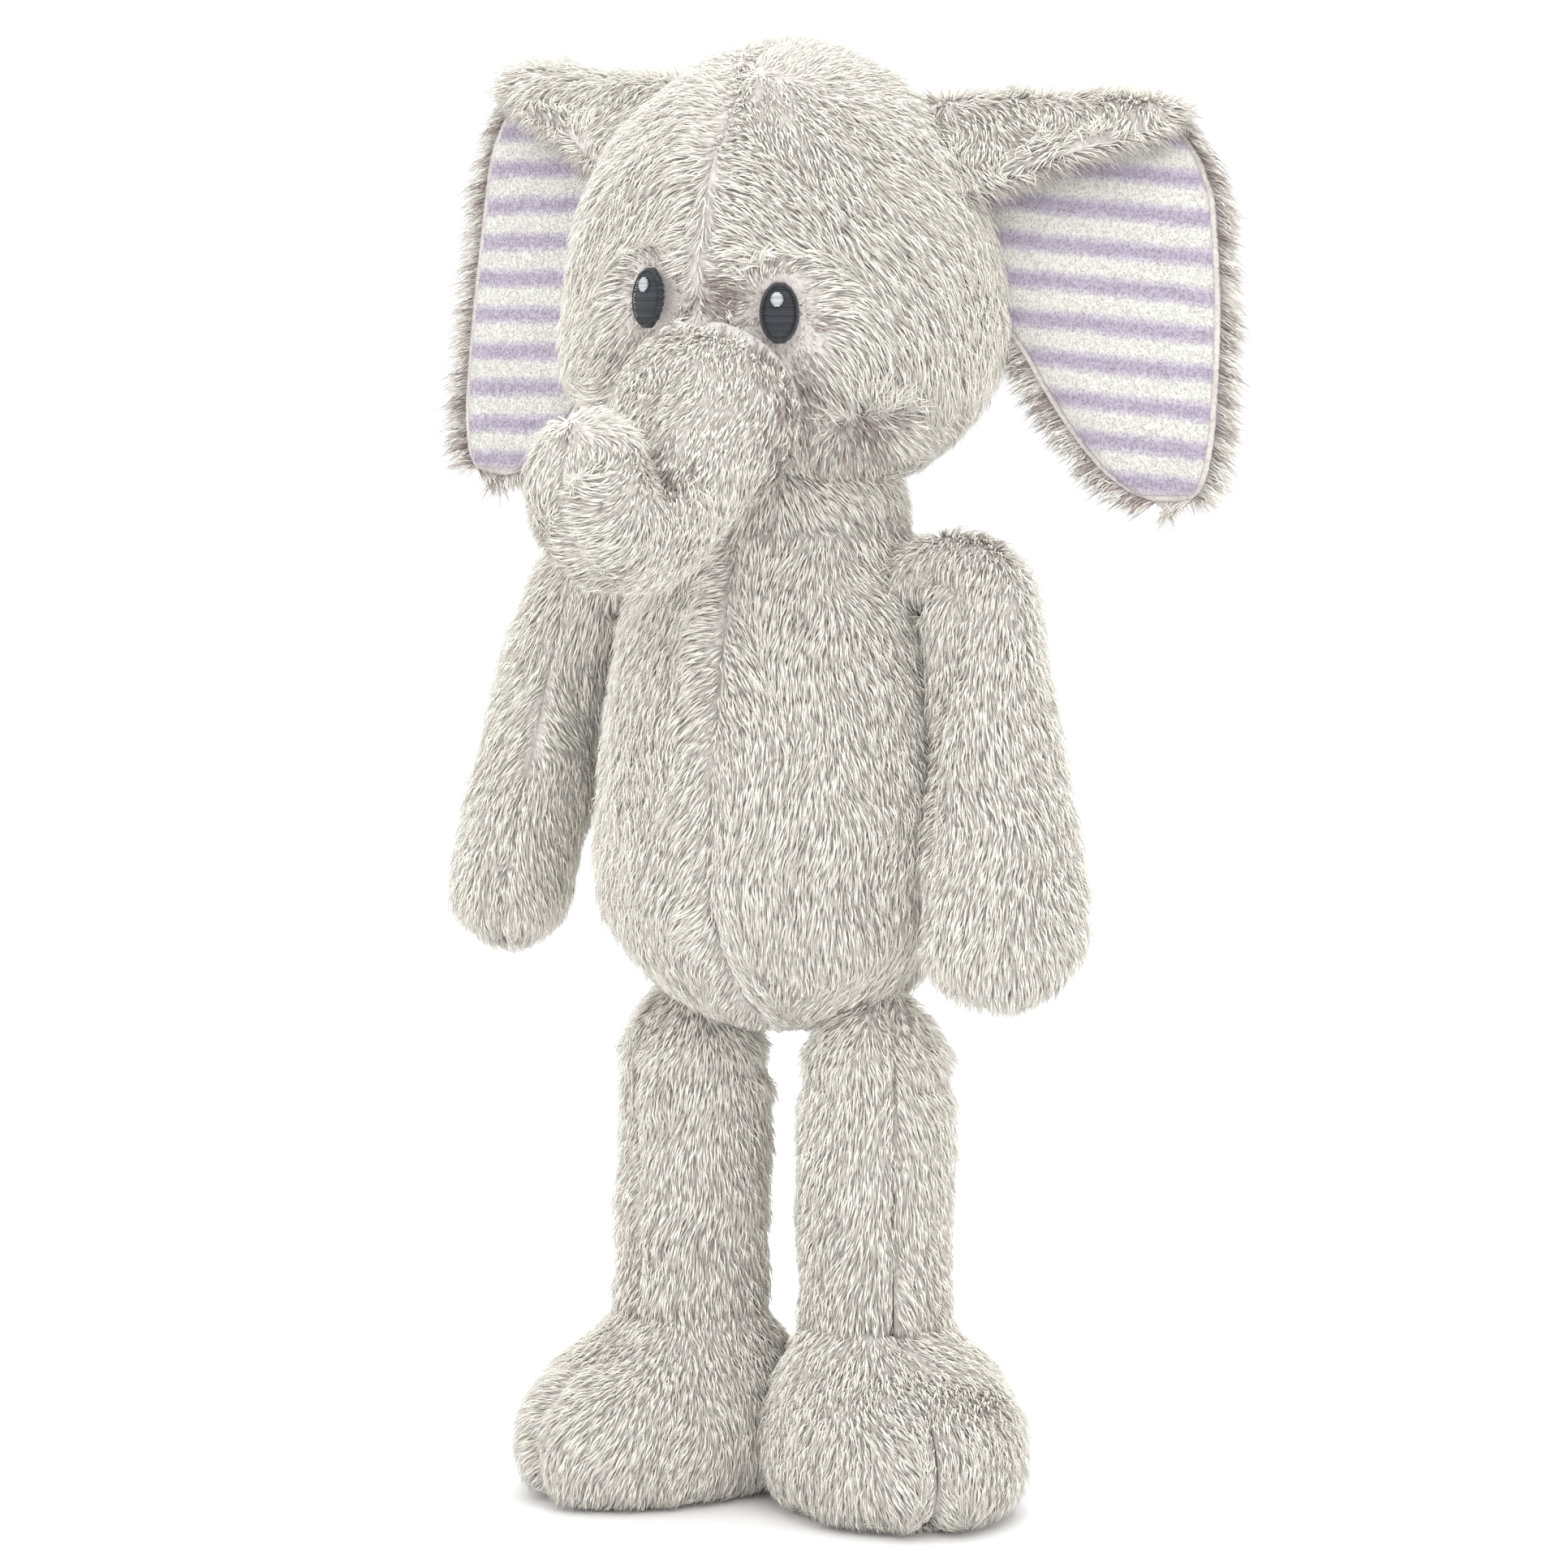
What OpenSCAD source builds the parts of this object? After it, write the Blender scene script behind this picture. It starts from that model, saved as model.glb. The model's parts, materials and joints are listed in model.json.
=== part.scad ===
// Standing plush elephant: sewn fur panels over soft stuffing, striped ear linings, embroidered eyes.
// Sizes are those of the fabric under the pile, in millimetres. The toy stands on z = 0 and faces -Y.
// Its own left is +X. The origin is the middle of the floor area that the toy covers.

/* [Cloth] */
// Thickness of the fur fabric with the base of its pile
cover = 1.6; // [1.2:0.1:2]
// Gap between two sewn panels, and between a cover and its stuffing
seam = 0.2; // [0.15:0.05:0.3]
// Clearance between parts that move against each other
clearance = 0.5; // [0.4:0.1:0.8]

/* [Body] */
// Radius of the belly at its widest
belly_radius = 47.5; // [45:0.5:49]
// Height of the crotch above the floor
seat_height = 128; // [124:1:134]
// Length of the body from the crotch to the neck
body_length = 134; // [130:1:136]

/* [Head] */
// Radius of the head at the cheeks
head_radius = 56.5; // [55:0.5:58]
// Height of the crown above the cheeks
crown_height = 76; // [74:1:80]
// Depth of the chin below the cheeks
chin_depth = 42; // [41:0.5:43]

/* [Trunk] */
// Radius of the trunk at its root
trunk_root_radius = 20.5; // [19:0.5:21]
// Radius of the trunk's curled end
trunk_end_radius = 14; // [12.5:0.5:15]
// Length of the straight part
trunk_length = 44; // [40:1:48]
// Slope of the straight part below level, in degrees
trunk_slope = 34; // [28:1:36]
// Radius of the curl, along the middle of the trunk
curl_radius = 20; // [19:0.5:22]
// Turn of the curl, in degrees
curl_turn = 107; // [90:1:120]
// Turn of the whole trunk towards the toy's right, in degrees
trunk_turn = 5; // [0:1:8]

/* [Ears] */
// Distance of the ear's outer edge from its root
ear_width = 61; // [56:1:64]
// Sweep of both ears towards the back, in degrees
ear_sweep = 20; // [14:1:22]
// Lift of the left ear, in degrees
left_ear_lift = 0; // [0:1:10]
// Lift of the right ear, in degrees
right_ear_lift = 6; // [0:1:12]
// Height of the left ear's fold above the middle of its root
left_ear_fold = 22.5; // [20:0.5:26]
// Height of the right ear's fold above the middle of its root
right_ear_fold = 30; // [22:0.5:31]
// Angle between an ear and the flap folded down in front of it, in degrees
flap_angle = 35; // [30:1:45]

/* [Arms] */
// Length of an arm from the shoulder's centre to the paw's centre
arm_length = 82; // [76:1:86]
// Spread of the left arm away from the body, in degrees
left_arm_spread = 7; // [7:1:20]
// Spread of the right arm away from the body, in degrees
right_arm_spread = 15; // [7:1:22]
// Swing of the left arm towards the front, in degrees
left_arm_swing = 8; // [0:1:12]
// Swing of the right arm towards the front, in degrees
right_arm_swing = 0; // [-4:1:12]

/* [Legs] */
// Half the distance between the two legs
leg_offset = 27; // [26.5:0.5:28]
// Radius of a leg below the hip
leg_radius = 17.5; // [16.5:0.5:18]
// Outward turn of the left foot, in degrees
left_foot_turn = 38; // [20:1:40]
// Outward turn of the right foot, in degrees
right_foot_turn = 28; // [20:1:40]

/* [Hidden] */
$fn = 48;
big = 1200;

// Body axis, measured from the middle of the floor area
body_y = 34;
belly_low = 44;
belly_high = 124;
belly_z = seat_height + belly_low;
body_top = seat_height + body_length;

// Neck: a ball of stuffing that the body and the head both close around
neck_z = body_top + 3;
neck_radius = 27;

// Head
head_z = neck_z + 49;

// Trunk: the straight part starts at the face and the curl starts at its end
trunk_root = [0, body_y - 52, head_z - 19];
trunk_reach = trunk_length * cos(trunk_slope);
trunk_drop = trunk_length * sin(trunk_slope);
curl_start = [0, trunk_root[1] - trunk_reach, trunk_root[2] - trunk_drop];
curl_centre = [
    0,
    curl_start[1] - curl_radius * sin(trunk_slope),
    curl_start[2] + curl_radius * cos(trunk_slope)
];
curl_from = -90 - trunk_slope;
lap = 1;
step = 0.1;

// Ears: middle of the root, and half the root's run sideways and upwards
ear_root = [50, body_y + 20.5, head_z + 33];
ear_run = 11.5;
ear_rise = 29;
root_cord = 2.2;
lining_t = 2;
back_t = 2.2;
fold_gap = 1.2;
fold_y = -fold_gap - lining_t - 0.15;
fold_from = -4;

// Arms
shoulder_z = body_top - 22;
shoulder_x = belly_radius + 9.8;
shoulder_y = body_y - 4;
shoulder_radius = 14.5;
paw_radius = 17.5;

// Legs and feet
hip_z = seat_height - 13;
ankle_z = 50;
ankle_radius = leg_radius + 1;
sole_t = 2;
heel_radius = 21;
toe_radius = 27;
heel_back = 10;
toe_front = 21;

// Eyes: the whole face looks a little to the toy's left, and its left eye sits a little lower
eye_turn = 18.5;
eye_z = head_z + 6.5;
eye_tilt = 2;
face_turn = 3.3;

// Tail
tail_z = seat_height + 40;
tail_radius = 4.5;
tail_length = 34;

// ---- plain shapes ----

function egg_radius(z, mid, low, high, r) =
    r * sqrt(max(0, 1 - pow((z - mid) / (z < mid ? low : high), 2)));

function head_radius_at(z) = egg_radius(z, head_z, chin_depth, crown_height, head_radius);

module egg(mid, low, high, r) {
    rotate_extrude()
        polygon([
            for (a = [-90 : 7.5 : 90])
                [r * cos(a), mid + (a < 0 ? low : high) * sin(a)]
        ]);
}

// Keeps the part of its children on one side of the toy's own middle plane
module half(side) {
    intersection() {
        children();
        translate([side > 0 ? seam / 2 : -big - seam / 2, -big / 2, -big / 2])
            cube(big);
    }
}

// Plane seen from the toy's right side: x runs forwards and y runs up
module in_profile() {
    rotate([90, 0, -90])
        children();
}

module rounded(points) {
    hull()
        for (p = points)
            translate([p[0], p[1]])
                circle(r = p[2]);
}

// ---- body ----

module body_form(inset) {
    difference() {
        translate([0, body_y, 0])
            egg(belly_z, belly_low - inset, belly_high - inset, belly_radius - inset);
        translate([-big / 2, -big / 2, body_top])
            cube(big);
        translate([0, body_y, neck_z])
            sphere(r = neck_radius + clearance);
    }
}

module body_quarter(side, front) {
    color("gainsboro")
        half(side)
            intersection() {
                difference() {
                    body_form(0);
                    body_form(cover);
                }
                translate([-big / 2, front ? body_y - big - seam / 2 : body_y + seam / 2, -big / 2])
                    cube(big);
            }
}

module body_front_left() {
    body_quarter(1, true);
}

module body_front_right() {
    body_quarter(-1, true);
}

module body_back_left() {
    body_quarter(1, false);
}

module body_back_right() {
    body_quarter(-1, false);
}

module body_stuffing() {
    color("white")
        difference() {
            body_form(cover + seam);
            translate([-big / 2, -big / 2, body_top - cover])
                cube(big);
        }
}

// ---- neck ----

module neck_cover() {
    color("gainsboro")
        translate([0, body_y, neck_z])
            difference() {
                sphere(r = neck_radius);
                sphere(r = neck_radius - cover);
                translate([-big / 2, -big / 2, 15])
                    cube(big);
                translate([-big / 2, -big / 2, -big - 12])
                    cube(big);
            }
}

module neck_stuffing() {
    color("white")
        translate([0, body_y, neck_z])
            sphere(r = neck_radius - cover - seam);
}

// ---- head ----

module head_form(inset) {
    translate([0, body_y, 0])
        egg(head_z, chin_depth - inset, crown_height - inset, head_radius - inset);
}

module head_sockets() {
    translate([0, body_y, neck_z])
        sphere(r = neck_radius + clearance);
    translate(trunk_root)
        sphere(r = trunk_root_radius + clearance + 0.1);
}

module head_cover(side) {
    color("gainsboro")
        half(side)
            difference() {
                head_form(0);
                head_form(cover);
                head_sockets();
            }
}

module head_cover_left() {
    head_cover(1);
}

module head_cover_right() {
    head_cover(-1);
}

module head_stuffing() {
    color("white")
        difference() {
            head_form(cover + seam);
            head_sockets();
        }
}

// Stretches its children, drawn around the eye's middle on the XZ plane, into the head's surface
module on_face(side, low, high) {
    intersection() {
        difference() {
            head_form(-high);
            head_form(-low);
        }
        translate([0, body_y, eye_z - side * eye_tilt])
            rotate([0, 0, side * eye_turn + face_turn])
                rotate([90, 0, 0])
                    linear_extrude(height = head_radius + 10)
                        children();
    }
}

module eye(side) {
    color("darkslategray")
        on_face(side, 0.1, 1.1)
            rounded([[0, 2.6, 5.2], [0, -2.6, 5.2]]);
}

module eye_highlight(side) {
    color("lightgray")
        on_face(side, 1.2, 1.8)
            translate([-0.6, 3.4])
                circle(r = 1.7);
}

module left_eye() {
    eye(1);
}

module right_eye() {
    eye(-1);
}

module left_eye_highlight() {
    eye_highlight(1);
}

module right_eye_highlight() {
    eye_highlight(-1);
}

// Knot of thread that pulls the corner of the mouth in
module mouth_stitch(side) {
    below = 25;
    r = head_radius_at(head_z - below);
    tilt = atan(below * pow(head_radius / chin_depth, 2) / r);
    color("rosybrown")
        translate([0, body_y, head_z - below])
            rotate([0, 0, side * 48])
                translate([0, -r, 0])
                    rotate([90 + tilt, 0, 0])
                        translate([0, 0, 0.35])
                            cylinder(r = 1.6, h = 1.2);
}

module left_mouth_stitch() {
    mouth_stitch(1);
}

module right_mouth_stitch() {
    mouth_stitch(-1);
}

// ---- trunk ----

// Turns the trunk about the upright line through its root
module place_trunk() {
    translate(trunk_root)
        rotate([0, 0, -trunk_turn])
            translate(-trunk_root)
                children();
}

module trunk_base_form(inset) {
    difference() {
        translate(trunk_root)
            union() {
                sphere(r = trunk_root_radius - inset);
                rotate([90 + trunk_slope, 0, 0])
                    cylinder(
                        r1 = trunk_root_radius - 0.5 - inset,
                        r2 = trunk_end_radius + 0.8 - inset,
                        h = trunk_length - 5
                    );
            }
        translate(curl_start)
            sphere(r = trunk_end_radius + clearance);
    }
}

module trunk_base_panel(side) {
    color("gainsboro")
        place_trunk()
            half(side)
                difference() {
                    trunk_base_form(0);
                    trunk_base_form(cover);
                }
}

module trunk_base_left() {
    trunk_base_panel(1);
}

module trunk_base_right() {
    trunk_base_panel(-1);
}

module trunk_base_stuffing() {
    color("white")
        place_trunk()
            trunk_base_form(cover + seam);
}

// Half of a ball on one side of the plane through its middle, along y
module dome(r, ahead) {
    intersection() {
        sphere(r = r);
        translate([-big / 2, ahead ? 0 : -big, -big / 2])
            cube(big);
    }
}

// The curled end, built along the profile plane: domes close both ends of the bent tube
module trunk_tip_form(inset) {
    r = trunk_end_radius - inset;
    translate(curl_centre)
        in_profile() {
            rotate([0, 0, curl_from])
                translate([curl_radius, 0, 0])
                    dome(r - step, false);
            rotate([0, 0, curl_from - lap])
                rotate_extrude(angle = curl_turn + 2 * lap)
                    translate([curl_radius, 0])
                        circle(r = r);
            rotate([0, 0, curl_from + curl_turn])
                translate([curl_radius, 0, 0])
                    dome(r - step, true);
        }
}

// Half of a shell around the point where the curl starts or ends
module tip_cap(side, ahead) {
    intersection() {
        difference() {
            dome(trunk_end_radius - step, ahead);
            sphere(r = trunk_end_radius - cover + step);
        }
        translate([-big / 2, -big / 2, side > 0 ? -big - seam / 2 : seam / 2])
            cube(big);
    }
}

// Half of a ring, as wide as the curled end and as thick as its cover
module tip_section(side) {
    intersection() {
        difference() {
            circle(r = trunk_end_radius);
            circle(r = trunk_end_radius - cover);
        }
        translate([-big / 2, side > 0 ? -big - seam / 2 : seam / 2])
            square(big);
    }
}

module trunk_tip_panel(side) {
    color("gainsboro")
        place_trunk()
            translate(curl_centre)
                in_profile() {
                    rotate([0, 0, curl_from])
                        translate([curl_radius, 0, 0])
                            tip_cap(side, false);
                    rotate([0, 0, curl_from - lap])
                        rotate_extrude(angle = curl_turn + 2 * lap)
                            translate([curl_radius, 0])
                                tip_section(side);
                    rotate([0, 0, curl_from + curl_turn])
                        translate([curl_radius, 0, 0])
                            tip_cap(side, true);
                }
}

module trunk_tip_left() {
    trunk_tip_panel(1);
}

module trunk_tip_right() {
    trunk_tip_panel(-1);
}

module trunk_tip_stuffing() {
    color("white")
        place_trunk()
            trunk_tip_form(cover + seam);
}

// ---- ears ----

// Outline in the ear's own plane, from the middle of its root: x runs outwards and y runs up
function swung(x, y, lift) = [x * cos(lift) - y * sin(lift), x * sin(lift) + y * cos(lift)];

function ear_corner(x, y, r, lift) = [swung(x, y, lift)[0], swung(x, y, lift)[1], r];

module ear_outline(lift, fold_z) {
    intersection() {
        rounded([
            [-ear_run + 2, ear_rise - 4, 1.7],
            [ear_run, -ear_rise, 1.7],
            ear_corner(ear_width - 21, fold_z - 12, 16, lift),
            ear_corner(ear_width - 15, -30, 15, lift),
            ear_corner(ear_width - 14, -67, 11, lift)
        ]);
        rotate([0, 0, lift])
            translate([-big / 2, fold_z - big])
                square(big);
    }
}

// One layer of the ear, from distance near to distance far behind the fold's axis
module ear_layer(lift, fold_z, near, far) {
    thick = far - near;
    fold_to = ear_width - 9;
    translate([0, fold_y + far, 0])
        rotate([90, 0, 0])
            linear_extrude(height = thick)
                ear_outline(lift, fold_z);
    rotate([0, -lift, 0])
        translate([fold_from, fold_y, fold_z]) {
            rotate([90, 0, 90])
                rotate([0, 0, -2])
                    rotate_extrude(angle = 184 - flap_angle)
                        translate([near + step, 0])
                            square([thick - 2 * step, fold_to - fold_from]);
            rotate([-flap_angle, 0, 0])
                translate([0, -near, 0])
                    rotate([90, 0, 0])
                        linear_extrude(height = thick)
                            polygon([
                                [0, 0],
                                [fold_to - fold_from, 0],
                                [fold_to - fold_from - 3, -8],
                                [fold_to - fold_from - 12, -11],
                                [22, -22],
                                [16, -22],
                                [12, -16]
                            ]);
        }
}

// Cord of seam allowance along the ear's root, from the fold down to the lower end
module root_line(fold_z, r) {
    slope = atan(ear_run / ear_rise);
    translate([ear_run, 0, -ear_rise])
        rotate([0, -slope, 0])
            cylinder(r = r, h = (fold_z + ear_rise) / cos(slope));
}

// Everything in the lining's depth on the head's side of that cord
module behind_root(gap) {
    slope = atan(ear_run / ear_rise);
    translate([ear_run, 0, -ear_rise])
        rotate([0, -slope, 0])
            translate([gap - 20, -lining_t - 0.5, -20])
                cube([20, lining_t + 1, 100]);
}

module place_ear(side) {
    mirror([side > 0 ? 0 : 1, 0, 0])
        translate(ear_root)
            rotate([0, 0, ear_sweep])
                children();
}

module ear_back(side, lift, fold_z) {
    color("rosybrown")
        place_ear(side)
            union() {
                ear_layer(lift, fold_z, fold_gap + lining_t + 0.15, fold_gap + lining_t + 0.15 + back_t);
                root_line(fold_z, root_cord);
            }
}

module ear_lining(side, lift, fold_z) {
    color("thistle")
        place_ear(side)
            difference() {
                ear_layer(lift, fold_z, fold_gap, fold_gap + lining_t);
                behind_root(root_cord + 0.2);
            }
}

module left_ear_back() {
    ear_back(1, left_ear_lift, left_ear_fold);
}

module left_ear_lining() {
    ear_lining(1, left_ear_lift, left_ear_fold);
}

module right_ear_back() {
    ear_back(-1, right_ear_lift, right_ear_fold);
}

module right_ear_lining() {
    ear_lining(-1, right_ear_lift, right_ear_fold);
}

// ---- arms ----

// Arm hanging from its shoulder at the origin, with the paw flattened from side to side
module arm_form(inset) {
    hull() {
        sphere(r = shoulder_radius - inset, $fn = 32);
        for (y = [-1, 1])
            translate([0, y * 4, -arm_length])
                scale([0.84, 1, 1])
                    sphere(r = paw_radius - inset, $fn = 32);
    }
}

module place_arm(side) {
    spread = side > 0 ? left_arm_spread : right_arm_spread;
    swing = side > 0 ? left_arm_swing : right_arm_swing;
    translate([side * shoulder_x, shoulder_y, shoulder_z])
        rotate([-swing, 0, 0])
            rotate([0, -side * spread, 0])
                children();
}

module arm_panel(side, outer) {
    color("gainsboro")
        place_arm(side)
            half(side * outer)
                difference() {
                    arm_form(0);
                    arm_form(cover);
                }
}

module arm_stuffing(side) {
    color("white")
        place_arm(side)
            arm_form(cover + seam);
}

module left_arm_outer() {
    arm_panel(1, 1);
}

module left_arm_inner() {
    arm_panel(1, -1);
}

module left_arm_stuffing() {
    arm_stuffing(1);
}

module right_arm_outer() {
    arm_panel(-1, 1);
}

module right_arm_inner() {
    arm_panel(-1, -1);
}

module right_arm_stuffing() {
    arm_stuffing(-1);
}

// ---- legs ----

// Leg above the ankle seam, with the hip at the origin of its height
module leg_form(inset) {
    intersection() {
        union() {
            translate([0, 0, hip_z])
                sphere(r = leg_radius - inset);
            translate([0, 0, ankle_z - 5])
                cylinder(
                    r1 = ankle_radius - inset,
                    r2 = leg_radius - inset,
                    h = hip_z - ankle_z + 5
                );
        }
        translate([-big / 2, -big / 2, ankle_z + seam / 2])
            cube(big);
    }
}

// Rounded pad whose top and bottom edges are quarter circles
module pad(r, low, high, edge) {
    rotate_extrude() {
        translate([0, low])
            square([r - edge, high - low]);
        translate([0, low + edge])
            square([r, high - low - 2 * edge]);
        for (z = [low + edge, high - edge])
            translate([r - edge, z])
                circle(r = edge);
    }
}

module foot_form(inset) {
    hull() {
        translate([0, 0, ankle_z - 6])
            cylinder(r = ankle_radius - inset, h = 6 - seam / 2, $fn = 32);
        translate([0, heel_back, 0])
            pad(heel_radius - inset, sole_t + inset, 30 - inset, 8, $fn = 32);
        translate([0, -toe_front, 0])
            pad(toe_radius - inset, sole_t + inset, 32 - inset, 11, $fn = 32);
    }
}

module sole_outline(inset) {
    rounded([
        [0, heel_back, heel_radius - inset],
        [0, -toe_front, toe_radius - inset]
    ]);
}

module place_leg(side) {
    turn = side > 0 ? left_foot_turn : right_foot_turn;
    translate([side * leg_offset, body_y, 0])
        rotate([0, 0, side * turn])
            children();
}

module leg_panel(side, outer) {
    color("gainsboro")
        place_leg(side)
            half(side * outer)
                difference() {
                    leg_form(0);
                    leg_form(cover);
                }
}

module foot_panel(side, outer) {
    color("lightgray")
        place_leg(side)
            half(side * outer)
                difference() {
                    foot_form(0);
                    foot_form(cover);
                }
}

module leg_stuffing(side) {
    color("white")
        place_leg(side)
            leg_form(cover + seam);
}

module foot_stuffing(side) {
    color("white")
        place_leg(side)
            foot_form(cover + seam);
}

module sole(side) {
    color("silver")
        place_leg(side)
            linear_extrude(height = sole_t - seam / 2)
                sole_outline(7);
}

module left_leg_outer() {
    leg_panel(1, 1);
}

module left_leg_inner() {
    leg_panel(1, -1);
}

module left_leg_stuffing() {
    leg_stuffing(1);
}

module left_foot_outer() {
    foot_panel(1, 1);
}

module left_foot_inner() {
    foot_panel(1, -1);
}

module left_foot_stuffing() {
    foot_stuffing(1);
}

module left_sole() {
    sole(1);
}

module right_leg_outer() {
    leg_panel(-1, 1);
}

module right_leg_inner() {
    leg_panel(-1, -1);
}

module right_leg_stuffing() {
    leg_stuffing(-1);
}

module right_foot_outer() {
    foot_panel(-1, 1);
}

module right_foot_inner() {
    foot_panel(-1, -1);
}

module right_foot_stuffing() {
    foot_stuffing(-1);
}

module right_sole() {
    sole(-1);
}

// ---- tail ----

module place_tail() {
    translate([0, body_y + belly_radius + tail_radius + clearance, tail_z])
        rotate([-170, 0, 0])
            children();
}

module tail_cover() {
    color("gainsboro")
        place_tail()
            union() {
                sphere(r = tail_radius);
                cylinder(r1 = tail_radius, r2 = tail_radius - 1.5, h = tail_length);
            }
}

module tail_tuft() {
    color("rosybrown")
        place_tail()
            translate([0, 0, tail_length + seam]) {
                cylinder(r1 = tail_radius - 1, r2 = tail_radius + 1.5, h = 10);
                translate([0, 0, 10])
                    cylinder(r1 = tail_radius + 1.5, r2 = 2, h = 6);
            }
}

body_front_left();
body_front_right();
body_back_left();
body_back_right();
body_stuffing();
neck_cover();
neck_stuffing();
head_cover_left();
head_cover_right();
head_stuffing();
left_eye();
right_eye();
left_eye_highlight();
right_eye_highlight();
left_mouth_stitch();
right_mouth_stitch();
trunk_base_left();
trunk_base_right();
trunk_base_stuffing();
trunk_tip_left();
trunk_tip_right();
trunk_tip_stuffing();
left_ear_back();
left_ear_lining();
right_ear_back();
right_ear_lining();
left_arm_outer();
left_arm_inner();
left_arm_stuffing();
right_arm_outer();
right_arm_inner();
right_arm_stuffing();
left_leg_outer();
left_leg_inner();
left_leg_stuffing();
left_foot_outer();
left_foot_inner();
left_foot_stuffing();
left_sole();
right_leg_outer();
right_leg_inner();
right_leg_stuffing();
right_foot_outer();
right_foot_inner();
right_foot_stuffing();
right_sole();
tail_cover();
tail_tuft();
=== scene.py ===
"""Looks of the standing plush elephant: sewn panels, combed fur, striped ear linings, embroidered eyes.

Every shape is worked out in millimetres in the CAD's own frame, and in metres once its mesh is made.
"""

import json
import math

import bmesh
import bpy
import numpy as np
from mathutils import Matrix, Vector, kdtree


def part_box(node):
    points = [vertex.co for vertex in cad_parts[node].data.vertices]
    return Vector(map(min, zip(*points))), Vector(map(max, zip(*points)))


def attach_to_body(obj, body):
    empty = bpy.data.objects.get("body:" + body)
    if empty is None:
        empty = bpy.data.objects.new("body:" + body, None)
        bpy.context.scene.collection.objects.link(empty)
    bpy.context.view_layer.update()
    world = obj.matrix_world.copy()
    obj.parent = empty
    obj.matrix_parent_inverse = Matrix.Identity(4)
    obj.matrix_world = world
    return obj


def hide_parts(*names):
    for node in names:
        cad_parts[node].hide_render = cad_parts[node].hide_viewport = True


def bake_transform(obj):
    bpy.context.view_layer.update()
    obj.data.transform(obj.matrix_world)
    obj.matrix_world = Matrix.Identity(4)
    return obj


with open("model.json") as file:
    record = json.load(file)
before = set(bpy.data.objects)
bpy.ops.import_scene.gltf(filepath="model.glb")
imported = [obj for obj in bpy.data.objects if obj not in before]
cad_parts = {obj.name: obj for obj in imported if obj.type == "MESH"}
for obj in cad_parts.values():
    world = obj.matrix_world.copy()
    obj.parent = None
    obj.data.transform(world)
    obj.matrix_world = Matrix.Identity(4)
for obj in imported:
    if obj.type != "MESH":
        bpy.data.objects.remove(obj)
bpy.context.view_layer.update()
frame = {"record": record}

MM = 0.001
TURN = 2 * math.pi


# ---- places, all from the frame ----

def low_high(node):
    """Lowest and highest corner of a CAD node, in mm."""
    low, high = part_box(node)
    return np.array(low) / MM, np.array(high) / MM


JOINTS = {j["name"]: j for j in frame["record"]["behaviour"]["joints"]}


def joint_at(name):
    return np.array(JOINTS[name]["pos_m"]) / MM


NECK = joint_at("neck_turn")
HEAD_HIGH = low_high("head_cover_left")[1]
BODY_LOW, BODY_HIGH = low_high("body_front_left")
BODY_Y = NECK[1]
HEAD_RADIUS = HEAD_HIGH[0]
CROWN_HEIGHT = 76
CHIN_DEPTH = 42
HEAD_MID = HEAD_HIGH[2] - CROWN_HEIGHT
SEAT = BODY_LOW[2]
BELLY_RADIUS = BODY_HIGH[0]
BELLY_LOW = 44
BELLY_MID = SEAT + BELLY_LOW
BELLY_HIGH = 124
BODY_TOP = BODY_HIGH[2]
EYE_TURN = math.radians(18.5)
FACE_TURN = math.radians(3.3)
MOUTH_TURN = math.radians(48)
MOUTH_Z = HEAD_MID - 25
TRUNK_ROOT = joint_at("trunk_lift")
CURL_START = joint_at("trunk_curl")
ROOT_RADIUS = 22.5
END_RADIUS = 14.6
CURL_RADIUS = 20
CURL_TURN = math.radians(107)
TRUNK_SAG = np.array([3.5, 1.0, -2.6])
CLOTH_THICK = 1.2
GROUND_GAP = 0.25
SEAM_ARC = 0.004


# ---- small tools on grids of points ----

def length_of(v, keep=False):
    return np.linalg.norm(v, axis=-1, keepdims=keep)


def unit(v):
    return v / np.maximum(length_of(v, True), 1e-9)


def waves(seed, size, count=10):
    """A smooth random field whose bumps are about that many mm across; its values are about -1 to 1."""
    rng = np.random.default_rng(seed)
    ways = unit(rng.normal(size=(count, 3))) * rng.uniform(0.7, 1.5, (count, 1)) * math.pi / size
    phase = rng.uniform(0, TURN, count)
    return lambda points: np.sin(points @ ways.T + phase).sum(-1) / math.sqrt(count)


def wave_vector(seed, size):
    fields = [waves(seed + i, size) for i in range(3)]
    return lambda points: np.stack([f(points) for f in fields], -1)


def normals(points, wrap):
    """Unit normals of a grid of points; a row of points that is drawn together takes its neighbour's."""
    if wrap:
        along_u = (np.roll(points, -1, 0) - np.roll(points, 1, 0)) / 2
    else:
        along_u = np.gradient(points, axis=0)
    along_v = np.gradient(points, axis=1)
    n = np.cross(along_u, along_v)
    size = length_of(n)
    for end, near in ((0, 1), (-1, -2)):
        if size[:, end].max() < 1e-3 * size.max():
            n[:, end] = n[:, near].mean(0)
    return unit(n)


def smooth_step(x, start, end):
    t = np.clip((x - start) / (end - start), 0, 1)
    return t * t * (3 - 2 * t)


def near(distance, reach):
    """1 at no distance, falling smoothly almost to 0 at twice the reach."""
    return np.exp(-((distance / reach) ** 2))


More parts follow.
